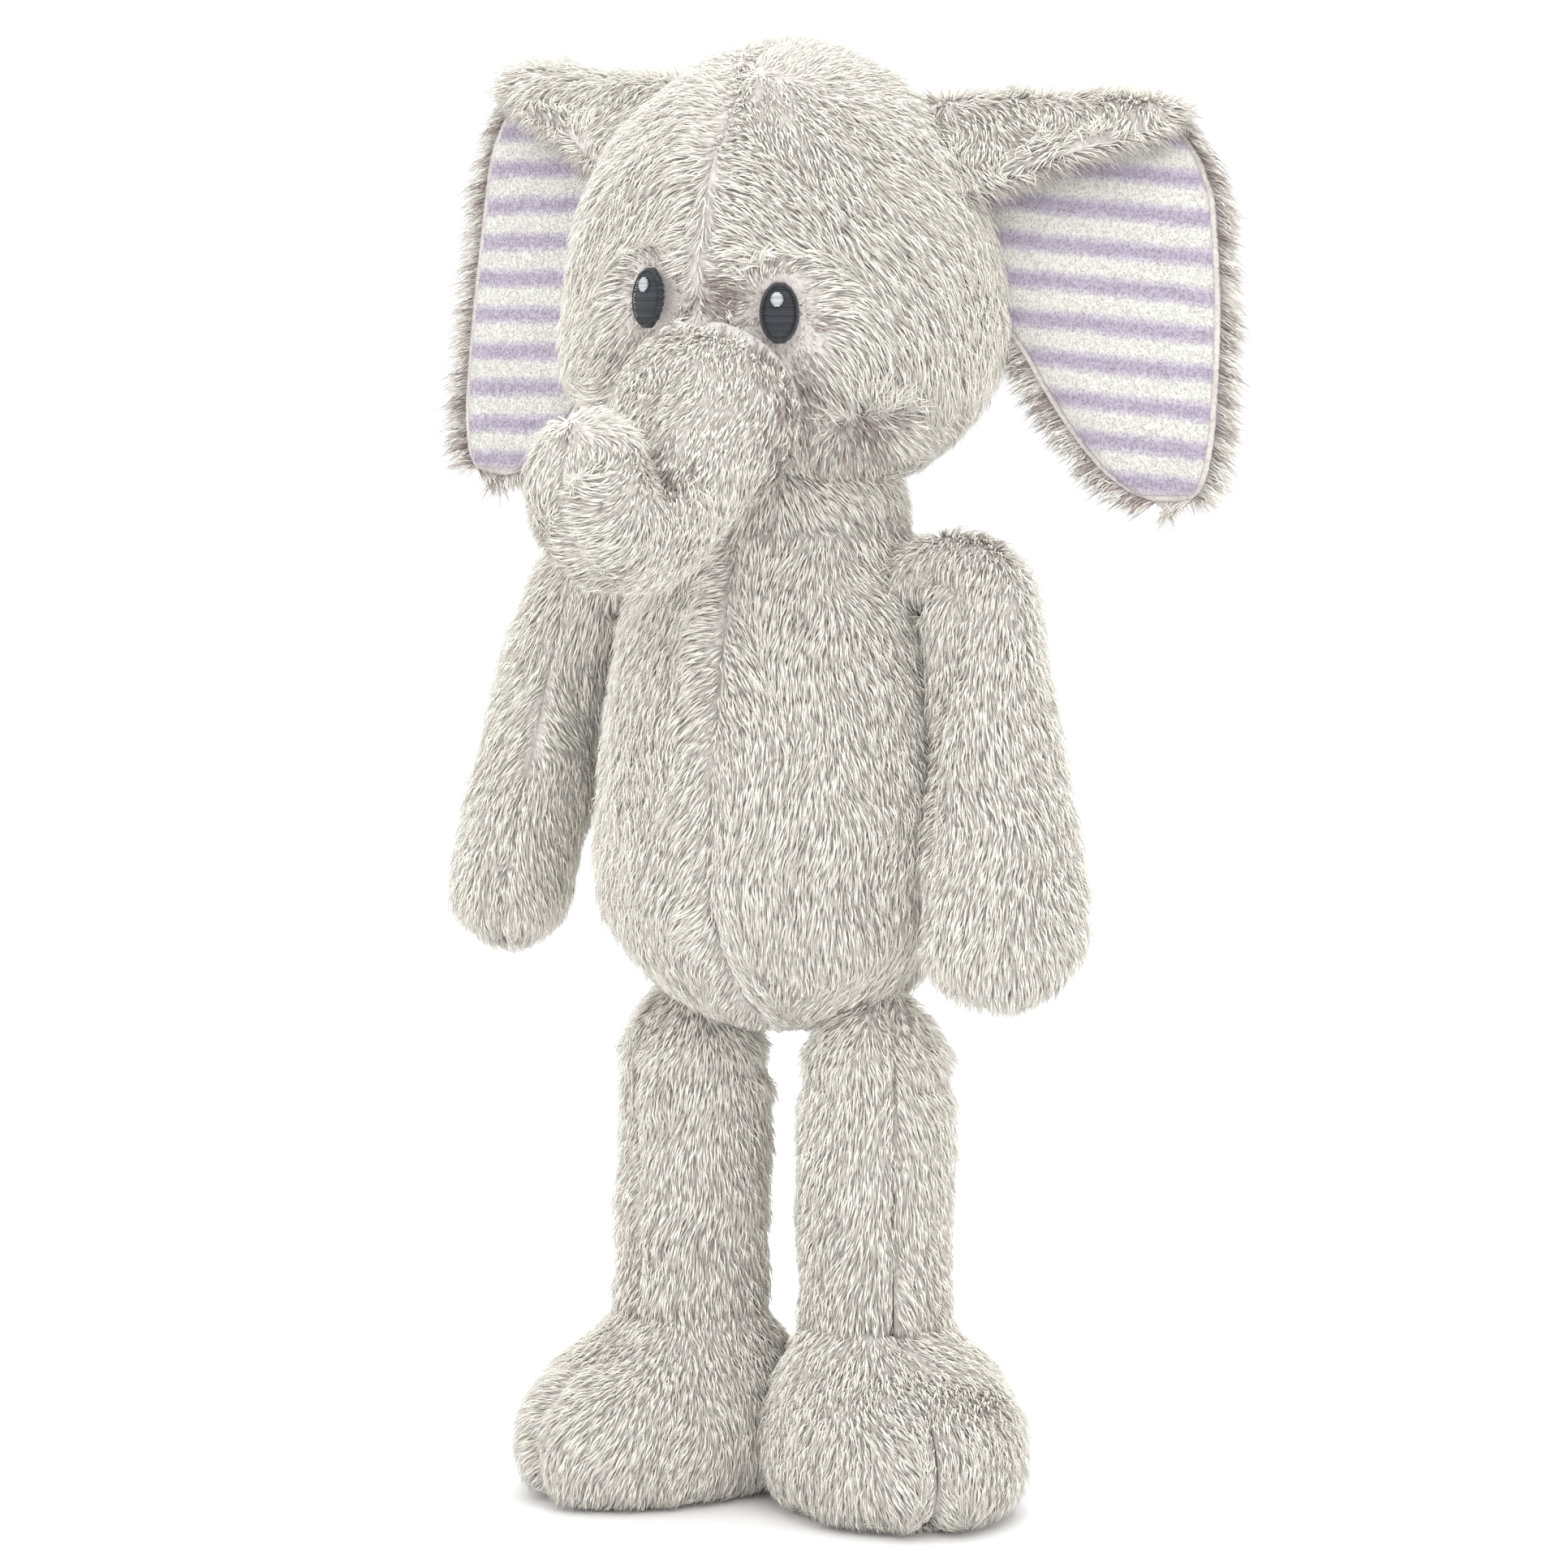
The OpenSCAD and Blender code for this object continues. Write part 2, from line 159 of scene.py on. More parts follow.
def curve_through(x, xs, ys):
    """Smooth curve through a few points, with no overshoot."""
    xs, ys = np.asarray(xs, float), np.asarray(ys, float)
    step = np.diff(xs)
    slope = np.diff(ys) / step
    tangent = np.zeros(len(xs))
    tangent[1:-1] = np.where(
        slope[:-1] * slope[1:] > 0,
        2 * slope[:-1] * slope[1:] / np.where(slope[:-1] + slope[1:] == 0, 1, slope[:-1] + slope[1:]),
        0,
    )
    tangent[0], tangent[-1] = slope[0], slope[-1]
    x = np.clip(x, xs[0], xs[-1])
    i = np.clip(np.searchsorted(xs, x) - 1, 0, len(xs) - 2)
    t = (x - xs[i]) / step[i]
    return (
        (1 + 2 * t) * (1 - t) ** 2 * ys[i]
        + t * (1 - t) ** 2 * step[i] * tangent[i]
        + t * t * (3 - 2 * t) * ys[i + 1]
        + t * t * (t - 1) * step[i] * tangent[i + 1]
    )


class Patch:
    """A grid of points on the cloth: u runs across the panel from seam to seam and v runs along it."""

    def __init__(self, points, wrap=False, outward=1):
        self.wrap = wrap
        self.outward = outward
        self.unseamed = 0.0
        self.move_to(points)

    def move_to(self, points):
        self.points = points
        self.normals = normals(points, self.wrap) * self.outward
        return self

    def push(self, distance):
        """Moves each point along its normal."""
        return self.move_to(self.points + self.normals * distance[..., None])

    def seam_distance(self):
        """Distance of each point, along u, from the nearer of the panel's two seams."""
        if self.wrap:
            return np.full(self.points.shape[:2], 99.0)
        step = length_of(np.diff(self.points, axis=0))
        run = np.concatenate([np.zeros((1, step.shape[1])), np.cumsum(step, 0)])
        narrow = 9 * (1 - smooth_step(run[-1], 6, 24))
        return np.minimum(run, run[-1] - run) + narrow[None] + self.unseamed

    def soften(self, seed, amount=0.7):
        """Lumps of stuffing under the cloth, and the cloth pulled in along its seams."""
        lumps = waves(seed, 34)(self.points) * amount + waves(seed + 1, 13)(self.points) * amount * 0.35
        return self.push(lumps - 2.0 * near(self.seam_distance(), 2.8))

    def closed(self):
        """Brings the edges near the toy's middle plane right onto it, where its halves are sewn."""
        points = self.points.copy()
        for edge in (0, -1):
            if np.abs(points[edge, :, 0]).max() < 2:
                points[edge, :, 0] = 0
        return self.move_to(points)

    def mirrored(self):
        return Patch(self.points * np.array([-1, 1, 1]), self.wrap, -self.outward)


def grid_faces(nu, nv, wrap, offset=0):
    i, j = np.meshgrid(np.arange(nu if wrap else nu - 1), np.arange(nv - 1), indexing="ij")
    k = (i + 1) % nu
    return np.stack([i * nv + j, k * nv + j, k * nv + j + 1, i * nv + j + 1], -1).reshape(-1, 4) + offset


def placed(name, data):
    obj = bpy.data.objects.new(name, data)
    bpy.context.scene.collection.objects.link(obj)
    return obj


def make_mesh(name, points, faces, material, smooth=True):
    """Mesh object from points in mm and lists of faces."""
    mesh = bpy.data.meshes.new(name)
    places = (np.asarray(points).reshape(-1, 3) * MM).tolist()
    mesh.from_pydata(places, [], [list(map(int, f)) for f in faces])
    mesh.materials.append(material)
    mesh.polygons.foreach_set("use_smooth", [smooth] * len(mesh.polygons))
    return placed(name, mesh)


def face_outwards(obj, weld=False):
    """Turns every face outwards; weld first joins the points that lie on each other."""
    bm = bmesh.new()
    bm.from_mesh(obj.data)
    if weld:
        bmesh.ops.remove_doubles(bm, verts=bm.verts, dist=2e-6)
        bmesh.ops.dissolve_degenerate(bm, edges=bm.edges, dist=1e-7)
    bmesh.ops.recalc_face_normals(bm, faces=bm.faces)
    bm.to_mesh(obj.data)
    bm.free()
    return obj


def slab(name, front, back, material, wrap=False):
    """Piece between two grids of the same shape, closed all round."""
    nu, nv = front.shape[:2]
    count = nu * nv
    faces = grid_faces(nu, nv, wrap).tolist()
    faces += [list(reversed(f)) for f in grid_faces(nu, nv, wrap, count).tolist()]
    for i in range(nu if wrap else nu - 1):
        a, b = i * nv, (i + 1) % nu * nv
        faces.append([a, a + count, b + count, b])
        a, b = a + nv - 1, b + nv - 1
        faces.append([b, b + count, a + count, a])
    if not wrap:
        last = (nu - 1) * nv
        for j in range(nv - 1):
            faces.append([j + 1, j + 1 + count, j + count, j])
            faces.append([last + j, last + j + count, last + j + 1 + count, last + j + 1])
    return make_mesh(name, np.concatenate([front.reshape(-1, 3), back.reshape(-1, 3)]), faces, material)


def set_values(obj, name, values):
    """Keeps one number for each point of the mesh, for its material."""
    layer = obj.data.attributes.new(name, "FLOAT", "POINT")
    layer.data.foreach_set("value", np.asarray(values, np.float32).ravel())


# ---- materials ----

class Look:
    """A procedural material, with short names for the nodes that it is made of."""

    def __init__(self, name, roughness, sheen=0.0, specular=0.2):
        self.material = bpy.data.materials.new(name)
        self.material.use_nodes = True
        self.nodes = self.material.node_tree.nodes
        self.link = self.material.node_tree.links.new
        self.shader = self.nodes["Principled BSDF"].inputs
        self.shader["Roughness"].default_value = roughness
        self.shader["Specular IOR Level"].default_value = specular
        self.shader["Sheen Weight"].default_value = sheen
        self.shader["Sheen Roughness"].default_value = 0.6

    def attribute(self, name):
        node = self.nodes.new("ShaderNodeAttribute")
        node.attribute_name = name
        return node.outputs["Fac"]

    def noise(self, scale, detail):
        node = self.nodes.new("ShaderNodeTexNoise")
        node.inputs["Scale"].default_value = scale
        node.inputs["Detail"].default_value = detail
        self.link(self.nodes.new("ShaderNodeTexCoord").outputs["Object"], node.inputs["Vector"])
        return node.outputs["Fac"]

    def ramp(self, value, stops, smooth=False):
        node = self.nodes.new("ShaderNodeValToRGB")
        if smooth:
            node.color_ramp.interpolation = "EASE"
        while len(node.color_ramp.elements) < len(stops):
            node.color_ramp.elements.new(0.5)
        for element, (place, colour) in zip(node.color_ramp.elements, stops):
            element.position = place
            element.color = (*colour, 1)
        self.link(value, node.inputs["Fac"])
        return node.outputs["Color"]

    def times(self, a, b, factor=1.0):
        """Darkens colour a by colour b; a factor below 1 takes only that share of it."""
        node = self.nodes.new("ShaderNodeMix")
        node.data_type = "RGBA"
        node.blend_type = "MULTIPLY"
        sockets = {socket.identifier: socket for socket in node.inputs}
        sockets["Factor_Float"].default_value = factor
        self.link(a, sockets["A_Color"])
        self.link(b, sockets["B_Color"])
        return next(socket for socket in node.outputs if socket.identifier == "Result_Color")

    def bump(self, height, strength, distance):
        node = self.nodes.new("ShaderNodeBump")
        node.inputs["Strength"].default_value = strength
        node.inputs["Distance"].default_value = distance
        self.link(height, node.inputs["Height"])
        self.link(node.outputs["Normal"], self.shader["Normal"])

    def coloured(self, colour):
        self.link(colour, self.shader["Base Color"])
        return self.material


def fur_material():
    """Pile that is taupe at its roots and frosted at its tips; some locks are creamier than others."""
    look = Look("frosted_pile", 0.85, 0.25)
    tone = look.attribute("tone")
    colour = look.ramp(look.attribute("along"), [
        (0.0, (0.62, 0.555, 0.53)),
        (0.18, (0.82, 0.78, 0.74)),
        (0.45, (0.92, 0.895, 0.82)),
        (1.0, (0.95, 0.925, 0.845)),
    ])
    # The dark end of this ramp shows locks that differ at random in tone and also painted shade in the
    # creases, both carried in the tone attribute.
    shade = look.ramp(tone, [
        (0.0, (0.46, 0.39, 0.395)),
        (0.08, (0.66, 0.60, 0.605)),
        (0.18, (0.94, 0.935, 0.935)),
        (1.0, (1.0, 1.0, 0.99)),
    ])
    look.link(look.ramp(tone, [(0, (0.78,) * 3), (1, (0.92,) * 3)]), look.shader["Roughness"])
    return look.coloured(look.times(colour, shade))


def skin_material():
    """Knitted backing of the pile, with the short under-pile on it."""
    look = Look("pile_backing", 0.95, 0.3)
    fine = look.noise(900, 4)
    colour = look.ramp(fine, [(0.3, (0.56, 0.52, 0.50)), (0.7, (0.76, 0.73, 0.70))])
    patchy = look.ramp(look.noise(60, 3), [(0.35, (0.82, 0.80, 0.80)), (0.65, (1.0, 1.0, 1.0))])
    look.bump(fine, 0.8, 0.0006)
    return look.coloured(look.times(colour, patchy))


def lining_material():
    """Short plush with soft lavender stripes; the stripe attribute counts stripes up the ear."""
    look = Look("striped_short_plush", 0.8, 0.5)
    shift = look.nodes.new("ShaderNodeMath")
    shift.operation = "MULTIPLY_ADD"
    look.link(look.noise(90, 2), shift.inputs[0])
    shift.inputs[1].default_value = 0.16
    look.link(look.attribute("stripe"), shift.inputs[2])
    part = look.nodes.new("ShaderNodeMath")
    part.operation = "FRACT"
    look.link(shift.outputs[0], part.inputs[0])
    cream, between, lavender = (0.66, 0.65, 0.61), (0.52, 0.48, 0.54), (0.41, 0.365, 0.45)
    colour = look.ramp(part.outputs[0], [
        (0.0, cream),
        (0.12, between),
        (0.24, lavender),
        (0.40, lavender),
        (0.52, between),
        (0.66, cream),
        (1.0, (0.67, 0.66, 0.62)),
    ], smooth=True)
    fine = look.noise(1400, 4)
    speck = look.ramp(fine, [(0.3, (0.95, 0.945, 0.95)), (0.65, (1.0, 1.0, 1.0))])
    look.bump(fine, 0.5, 0.0004)
    return look.coloured(look.times(colour, speck, 0.8))


def thread_material(name, dark, light, roughness):
    """Shiny thread; each stitch has its own tone between dark and light."""
    look = Look(name, roughness, 0.15, 0.35)
    fine = look.noise(2600, 3)
    colour = look.ramp(look.attribute("tone"), [(0, dark), (1, light)])
    speck = look.ramp(fine, [(0.35, (0.72, 0.72, 0.74)), (0.65, (1.0, 1.0, 1.0))])
    look.bump(fine, 0.4, 0.0002)
    return look.coloured(look.times(colour, speck, 0.7))


FUR = fur_material()
SKIN = skin_material()
LINING = lining_material()
EYE_THREAD = thread_material("dark_slate_thread", (0.010, 0.012, 0.016), (0.034, 0.039, 0.048), 0.6)
LIGHT_THREAD = thread_material("light_grey_thread", (0.36, 0.37, 0.40), (0.62, 0.63, 0.66), 0.45)
STITCH_THREAD = thread_material("taupe_thread", (0.16, 0.11, 0.115), (0.30, 0.23, 0.23), 0.6)


# ---- fur ----

FUR_DENSITY = 1.6
BENT_SHARE = 0.35


def scattered(patch, fields, density, rng):
    """Random points on a patch, with its normals and the given fields there."""
    p = patch.points
    nu, nv = p.shape[:2]
    quads = grid_faces(nu, nv, patch.wrap)
    triangles = np.concatenate([quads[:, [0, 1, 2]], quads[:, [0, 2, 3]]])
    flat = p.reshape(-1, 3)
    a, b, c = (flat[triangles[:, k]] for k in range(3))
    area = length_of(np.cross(b - a, c - a)) / 2
    count = int(area.sum() * density)
    chosen = triangles[rng.choice(len(triangles), count, p=area / area.sum())]
    s, t = rng.random(count), rng.random(count)
    over = s + t > 1
    s[over], t[over] = 1 - s[over], 1 - t[over]
    weights = np.stack([1 - s - t, s, t], -1)[..., None]
    out = []
    for field in [p, patch.normals] + fields:
        values = field.reshape(nu * nv, -1)[chosen]
        out.append((values * weights).sum(1))
    return out


def clump_owner(roots, rng, share):
    """Index of the lock that each lock leans together with."""
    owners = rng.permutation(len(roots))[:max(1, int(len(roots) * share))]
    tree = kdtree.KDTree(len(owners))
    for i in owners.tolist():
        tree.insert(roots[i].tolist(), i)
    tree.balance()
    return np.array([tree.find(r)[1] for r in roots.tolist()])


BENT = ((0, 2, 1), (0, 1, 4, 3), (1, 2, 5, 4), (2, 0, 3, 5), (3, 4, 6), (4, 5, 6), (5, 3, 6))
STRAIGHT = ((0, 2, 1), (0, 1, 3), (1, 2, 3), (2, 0, 3))


def many(points, pattern):
    """Corners, face starts and face count of one pattern of faces, repeated for each lock of points."""
    count, each = points.shape[:2]
    corners = np.concatenate(pattern)
    starts = np.concatenate([[0], np.cumsum([len(f) for f in pattern])[:-1]])
    index = np.arange(count)[:, None]
    return (index * each + corners).ravel(), (index * len(corners) + starts).ravel()


def pile_mesh(name, groups, attributes, material):
    """One mesh of many closed locks. Each group is (points of each lock, its faces)."""
    corners, starts, places = [], [], []
    point_total = corner_total = 0
    for points, pattern in groups:
        c, f = many(points, pattern)
        corners.append(c + point_total)
        starts.append(f + corner_total)
        places.append(points.reshape(-1, 3))
        point_total += len(places[-1])
        corner_total += len(c)
    corners, starts, places = (np.concatenate(part) for part in (corners, starts, places))
    mesh = bpy.data.meshes.new(name)
    mesh.vertices.add(len(places))
    mesh.vertices.foreach_set("co", (places * MM).astype(np.float32).ravel())
    mesh.loops.add(len(corners))
    mesh.loops.foreach_set("vertex_index", corners.astype(np.int32))
    mesh.polygons.add(len(starts))
    mesh.polygons.foreach_set("loop_start", starts.astype(np.int32))
    mesh.update(calc_edges=True)
    mesh.polygons.foreach_set("use_smooth", np.ones(len(mesh.polygons), bool))
    mesh.materials.append(material)
    obj = placed(name, mesh)
    for key, values in attributes.items():
        set_values(obj, key, values)
    return obj


def lock_mesh(name, roots, mids, tips, across, thick, width, tone, bent):
    """Closed three-sided locks: the bent ones have a ring half-way, the straight ones fill in."""
    count = len(roots)
    points = np.empty((count, 7, 3))
    for k in range(3):
        angle = TURN * (k / 3 + 0.25)
        spoke = (across * math.cos(angle) + thick * (0.55 * math.sin(angle))) * width[:, None]
        points[:, k] = roots + spoke
        points[:, 3 + k] = mids + spoke * 0.9
    points[:, 6] = tips
    straight = points[~bent][:, [0, 1, 2, 6]]
    along = np.concatenate([
        np.tile([0, 0, 0, 0.5, 0.5, 0.5, 1.0], bent.sum()),
        np.tile([0, 0, 0, 1.0], (~bent).sum()),
    ])
    tones = np.concatenate([np.repeat(tone[bent], 7), np.repeat(tone[~bent], 4)])
    groups = [(points[bent], BENT), (straight, STRAIGHT)]
    return pile_mesh(name, groups, {"along": along, "tone": tones}, FUR)


def crease_shade(points):
    """Painted shade: how much the locks are darkened to taupe by the eyes and round the trunk's root, in the
    mouth's corners and inside the curl, where shade falls.
    """
    dark = np.zeros(points.shape[:-1])
    for side in (1, -1):
        dark = np.maximum(dark, 0.8 * near(length_of(points - MOUTH[side][0]), 9))
        dark = np.maximum(dark, 0.55 * near(np.maximum(eye_ring(points, side) - 1.0, 0), 0.7))
    # Painted shade in the crease round the trunk's root.
    tube = trunk_distance(points)
    root = near(tube - ROOT_RADIUS - 1, 6) * near(points[..., 1] - TRUNK_ROOT[1], 12)
    dark = np.maximum(dark, 0.5 * root)
    # Painted shade in the hollow inside the trunk's curl.
    _, left = trunk_frame()
    line, _, spoke = curl_line(np.array([0.0]))
    offset = points - (line[0] - spoke[0] * CURL_RADIUS)
    offset = offset - left * (offset @ left)[..., None]
    inner = length_of(offset)
    return np.maximum(dark, near(np.maximum(inner - 4, 0), 6))


def grow_from(
    name, roots, n, comb, length, rng, lean=(55, 83), width=0.29, gather=0.22, share=0.07, dull=0.0,
):
    """Locks on given roots: they rise from the cloth, bend over along the comb, and gather into tufts.

    lean is the angle in degrees from the normal, below and above the bend. There are share times as many
    tufts as locks, gather says how far a lock is drawn to its tuft, and dull darkens them all.
    """
    keep = length[:, 0] > 0.6
    roots, n, comb, length = roots[keep], unit(n[keep]), comb[keep], length[keep, 0]
    count = len(roots)
    comb = unit(comb - n * (comb * n).sum(-1, keepdims=True))
    twist = rng.normal(0, 0.14, count)[:, None]
    comb = comb * np.cos(twist) + np.cross(n, comb) * np.sin(twist)
    low = np.radians(np.clip(rng.normal(lean[0], 7, count), 4, 72))[:, None]
    high = np.radians(np.clip(rng.normal(lean[1], 7, count), 15, 88))[:, None]
    length = (length * rng.uniform(0.72, 1.18, count))[:, None]
    rise = n * np.cos(low) + comb * np.sin(low)
    mids = roots + rise * length * 0.5
    tips = mids + (n * np.cos(high) + comb * np.sin(high)) * length * 0.5
    owner = clump_owner(roots, rng, share)
    pull = rng.uniform(0.4, 1.0, count)[:, None] * gather
    spread = length_of(roots - roots[owner], True)
    pull = pull * np.clip(length / np.maximum(spread, 0.1) / 1.2, 0, 1)
    mids = mids + (mids[owner] - mids) * pull * 0.35
    tips = tips + (tips[owner] - tips) * pull
    across = unit(np.cross(n, comb))
    thick = np.cross(rise, across)
    tone = np.clip(0.45 * rng.random(count) + 0.65 * rng.random(count)[owner], 0, 1)
    # Painted shade: locks in the mouth's corners, round the eyes, round the trunk's root and inside its curl
    # are darkened; dull darkens every lock.
    tone = np.clip(tone - (1.25 * crease_shade(roots) + dull) * rng.uniform(0.3, 1.2, count), 0, 1)
    widths = width * rng.uniform(0.75, 1.25, count)
    bent = rng.random(count) < BENT_SHARE
    sunk = roots - n * 0.3
    for places, gap in ((mids, GROUND_GAP + 0.4), (tips, GROUND_GAP), (sunk, GROUND_GAP + 0.4)):
        places[:, 2] = np.maximum(places[:, 2], gap)
    return lock_mesh(name, sunk, mids, tips, across, thick, widths, tone, bent)


def grow(name, patch, comb, pile, seed, **style):
    """Fur on a patch. comb and pile are functions of the points: a direction, and a length in mm."""
    rng = np.random.default_rng(seed)
    p = patch.points
    ways = unit(comb(p)) + 0.20 * wave_vector(seed, 11)(p) + 0.26 * wave_vector(seed + 7, 27)(p)
    if not patch.wrap:
        inwards = unit(np.gradient(p, axis=0)) * np.sign(np.linspace(1, -1, len(p)))[:, None, None]
        ways = ways + 0.35 * near(patch.seam_distance(), 3.6)[..., None] * inwards
    ways = ways - patch.normals * (ways * patch.normals).sum(-1, keepdims=True)
    length = pile(p) * (1 + 0.12 * waves(seed + 20, 9)(p))
    parting = near(patch.seam_distance(), 2.2)
    length = length * (1 - 0.3 * parting)
    roots, n, ways, length = scattered(patch, [ways, length[..., None]], FUR_DENSITY, rng)
    return grow_from(name, roots, n, ways, length, rng, **style)


# ---- pieces and their bodies ----

def cover(node, patch, comb, pile, seed, attach, stands_for=(), fill=0.8, thick=CLOTH_THICK, **style):
    """A sewn panel with its fur, standing for the CAD node of the same name."""
    inner = patch.points - patch.normals * thick
    skin = face_outwards(slab("cloth_" + node, patch.points, inner, SKIN, patch.wrap), weld=True)
    fur = grow("fur_" + node, patch, comb, pile, seed, **style)
    for piece in (skin, fur):
        attach(piece)
    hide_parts(node, *stands_for)
    return skin, fur


def riding(body):
    return lambda piece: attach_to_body(piece, body)


def bending(start, end):
    start, end = (tuple(float(c) * MM for c in point) for point in (start, end))
    return lambda piece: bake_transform(piece)


def down(points):
    return np.broadcast_to(np.array([0.0, 0.0, -1.0]), points.shape).copy()


def constant(value):
    return lambda points: np.full(points.shape[:-1], float(value))


# ---- head ----

def head_radius_at(z):
    depth = np.where(z < HEAD_MID, CHIN_DEPTH, CROWN_HEIGHT)
    return HEAD_RADIUS * np.sqrt(np.clip(1 - ((z - HEAD_MID) / depth) ** 2, 0, 1))


def on_head(turn, z, out=0.0):
    """Point at that turn to the toy's left of straight ahead, and its outward direction."""
    r = float(head_radius_at(np.array(z))) + out
    way = np.array([math.sin(turn), -math.cos(turn), 0.0])
    depth = CHIN_DEPTH if z < HEAD_MID else CROWN_HEIGHT
    up_slope = (z - HEAD_MID) / depth**2 * HEAD_RADIUS**2 / max(r, 1)
    return np.array([r * way[0], BODY_Y + r * way[1], z]), unit(way + np.array([0, 0, up_slope]))


EYE_SIDES = {1: "left", -1: "right"}
EYE_Z = {side: sum(corner[2] for corner in low_high(name + "_eye")) / 2 for side, name in EYE_SIDES.items()}
EYES = {side: on_head(side * EYE_TURN + FACE_TURN, EYE_Z[side]) for side in (1, -1)}
MOUTH = {side: on_head(side * MOUTH_TURN, MOUTH_Z) for side in (1, -1)}


def eye_ring(points, side):
    """How far a point is from an eye's middle: 1 on the edge of its oval."""
    centre, way = EYES[side]
    across = unit(np.cross(np.array([0, 0, 1.0]), way))
    rise = np.cross(way, across)
    offset = points - centre
    ring = np.sqrt(((offset @ across) / 5.3) ** 2 + ((offset @ rise) / 7.9) ** 2)
    return np.where(offset @ way < -25, 99, ring)


def head_patch():
    """Left half of the head, from the face's seam round the left cheek to the seam at the back."""
    turn = np.linspace(0, math.pi, 84)
    tilt = np.radians(np.linspace(-89, 89, 76))
    u, v = np.meshgrid(turn, tilt, indexing="ij")
    r = HEAD_RADIUS * np.cos(v)
    z = HEAD_MID + np.where(v < 0, CHIN_DEPTH, CROWN_HEIGHT) * np.sin(v)
    return Patch(np.stack([r * np.sin(u) + 0.05, BODY_Y - r * np.cos(u), z], -1))


def shape_head(patch, seed):
    p = patch.points
    dent = np.zeros(p.shape[:2])
    for side in (1, -1):
        dent -= 1.6 * near(np.maximum(eye_ring(p, side) - 0.7, 0), 0.9)
        centre, _ = MOUTH[side]
        dent -= 6.5 * near(length_of((p - centre) * np.array([1, 1, 0.8])), 6.5)
        cheek = centre + np.array([side * 5.0, 4.0, 13.0])
        dent += 2.2 * near(length_of(p - cheek), 17)
    tube = trunk_distance(p)
    ahead = p[..., 1] < BODY_Y - 20
    dent -= np.where(ahead, 3.4 * near(tube - ROOT_RADIUS - 1, 4.5), 0)
    patch.unseamed = np.where(ahead, 9 * (1 - smooth_step(p[..., 2], HEAD_MID + 36, HEAD_MID + 52)), 0)
    patch.push(dent)
    return patch.soften(seed, 0.75).closed()


def head_comb(points):
    """Down from the crown, away from the seam, the eyes, the mouth's corners and the trunk."""
    way = down(points) * 0.9
    x = points[..., 0]
    crown = smooth_step(points[..., 2], HEAD_MID + 48, HEAD_MID + 72)
    way[..., 0] += np.sign(x) * (0.9 * near(x, 9) * (1 - crown) + 0.25)
    way[..., 1] += 0.8 * crown
    for side in (1, -1):
        for (centre, _), reach, strength in ((EYES[side], 13, 2.6), (MOUTH[side], 15, 2.4)):
            offset = points - centre
            distance = length_of(offset, True)
            way += strength * near(distance, reach) * offset / np.maximum(distance, 1)
    offset = points - TRUNK_ROOT
    distance = length_of(offset, True)
    way += 1.1 * near(distance, 34) * offset / np.maximum(distance, 1)
    return way


def head_pile(points):
    length = 8.0 - 3.2 * smooth_step(points[..., 2], HEAD_MID + 36, HEAD_MID + 70)
    for side in (1, -1):
        ring = eye_ring(points, side)
        length *= smooth_step(ring, 1.0, 2.3) * 0.72 + 0.28
        length = np.where(ring < 1.03, 0, length)
        centre, _ = MOUTH[side]
        length *= 1 - 0.55 * near(length_of(points - centre), 5)
    tube = trunk_distance(points)
    ahead = points[..., 1] < BODY_Y - 20
    length = np.where(ahead, length * (1 - 0.4 * near(tube - ROOT_RADIUS - 2, 5)), length)
    length = np.where((tube < ROOT_RADIUS - 4) & ahead, 0, length)
    neck = length_of(points[..., :2] - NECK[:2])
    return np.where((neck < 24) & (points[..., 2] < HEAD_MID - 20), 0, length)


def make_head():
    for side, name, seed in ((1, "left", 11), (-1, "right", 31)):
        patch = head_patch()
        if side < 0:
            patch = patch.mirrored()
        shape_head(patch, seed)
        extra = ("head_stuffing",) if side > 0 else ()
        cover("head_cover_" + name, patch, head_comb, head_pile, seed, riding("head"), extra)


# ---- body and neck ----

def body_patch(front):
    turn = np.linspace(0, math.pi / 2, 46) + (0 if front else math.pi / 2)
    top_tilt = math.asin((BODY_TOP - BELLY_MID) / BELLY_HIGH)
    tilt = np.linspace(math.radians(-88), top_tilt, 66)
    u, v = np.meshgrid(turn, tilt, indexing="ij")
    r = BELLY_RADIUS * np.cos(v)
    z = BELLY_MID + np.where(v < 0, BELLY_LOW, BELLY_HIGH) * np.sin(v)
    return Patch(np.stack([r * np.sin(u) + 0.05, BODY_Y - r * np.cos(u), z], -1))


def shape_body(patch, seed):
    p = patch.points
    z = p[..., 2]
    angle = np.arctan2(np.abs(p[..., 0]), BODY_Y - p[..., 1])
    belly = 1.6 * near(z - (BELLY_MID + 12), 34) * np.clip(np.cos(angle), 0, 1)
    waist = -1.2 * near(z - (BODY_TOP - 10), 8)
    patch.push(belly + waist)
    return patch.soften(seed, 0.9).closed()


def body_comb(points):
    way = down(points)
    x = points[..., 0]
    way[..., 0] += np.sign(x) * 0.75 * near(x, 8)
    return way


def body_pile(points):
    """Long all over, shorter under the seat, and none where the hips press on the body."""
    length = 8.0 - 3.4 * smooth_step(-points[..., 2], -SEAT - 16, -SEAT - 2)
    for name in ("left_leg_swing", "right_leg_swing"):
        hip = joint_at(name)
        inside = length_of(points[..., :2] - hip[:2]) < 15.5
        length = np.where(inside & (points[..., 2] < SEAT + 12), 0, length)
    return length


def make_body():
    seeds = {("front", 1): 51, ("front", -1): 53, ("back", 1): 55, ("back", -1): 57}
    for (part, side), seed in seeds.items():
        patch = body_patch(part == "front")
        if side < 0:
            patch = patch.mirrored()
        shape_body(patch, seed)
        extra = ("body_stuffing",) if (part, side) == ("front", 1) else ()
        node = "body_{}_{}".format(part, "left" if side > 0 else "right")
        cover(node, patch, body_comb, body_pile, seed, riding("torso"), extra)


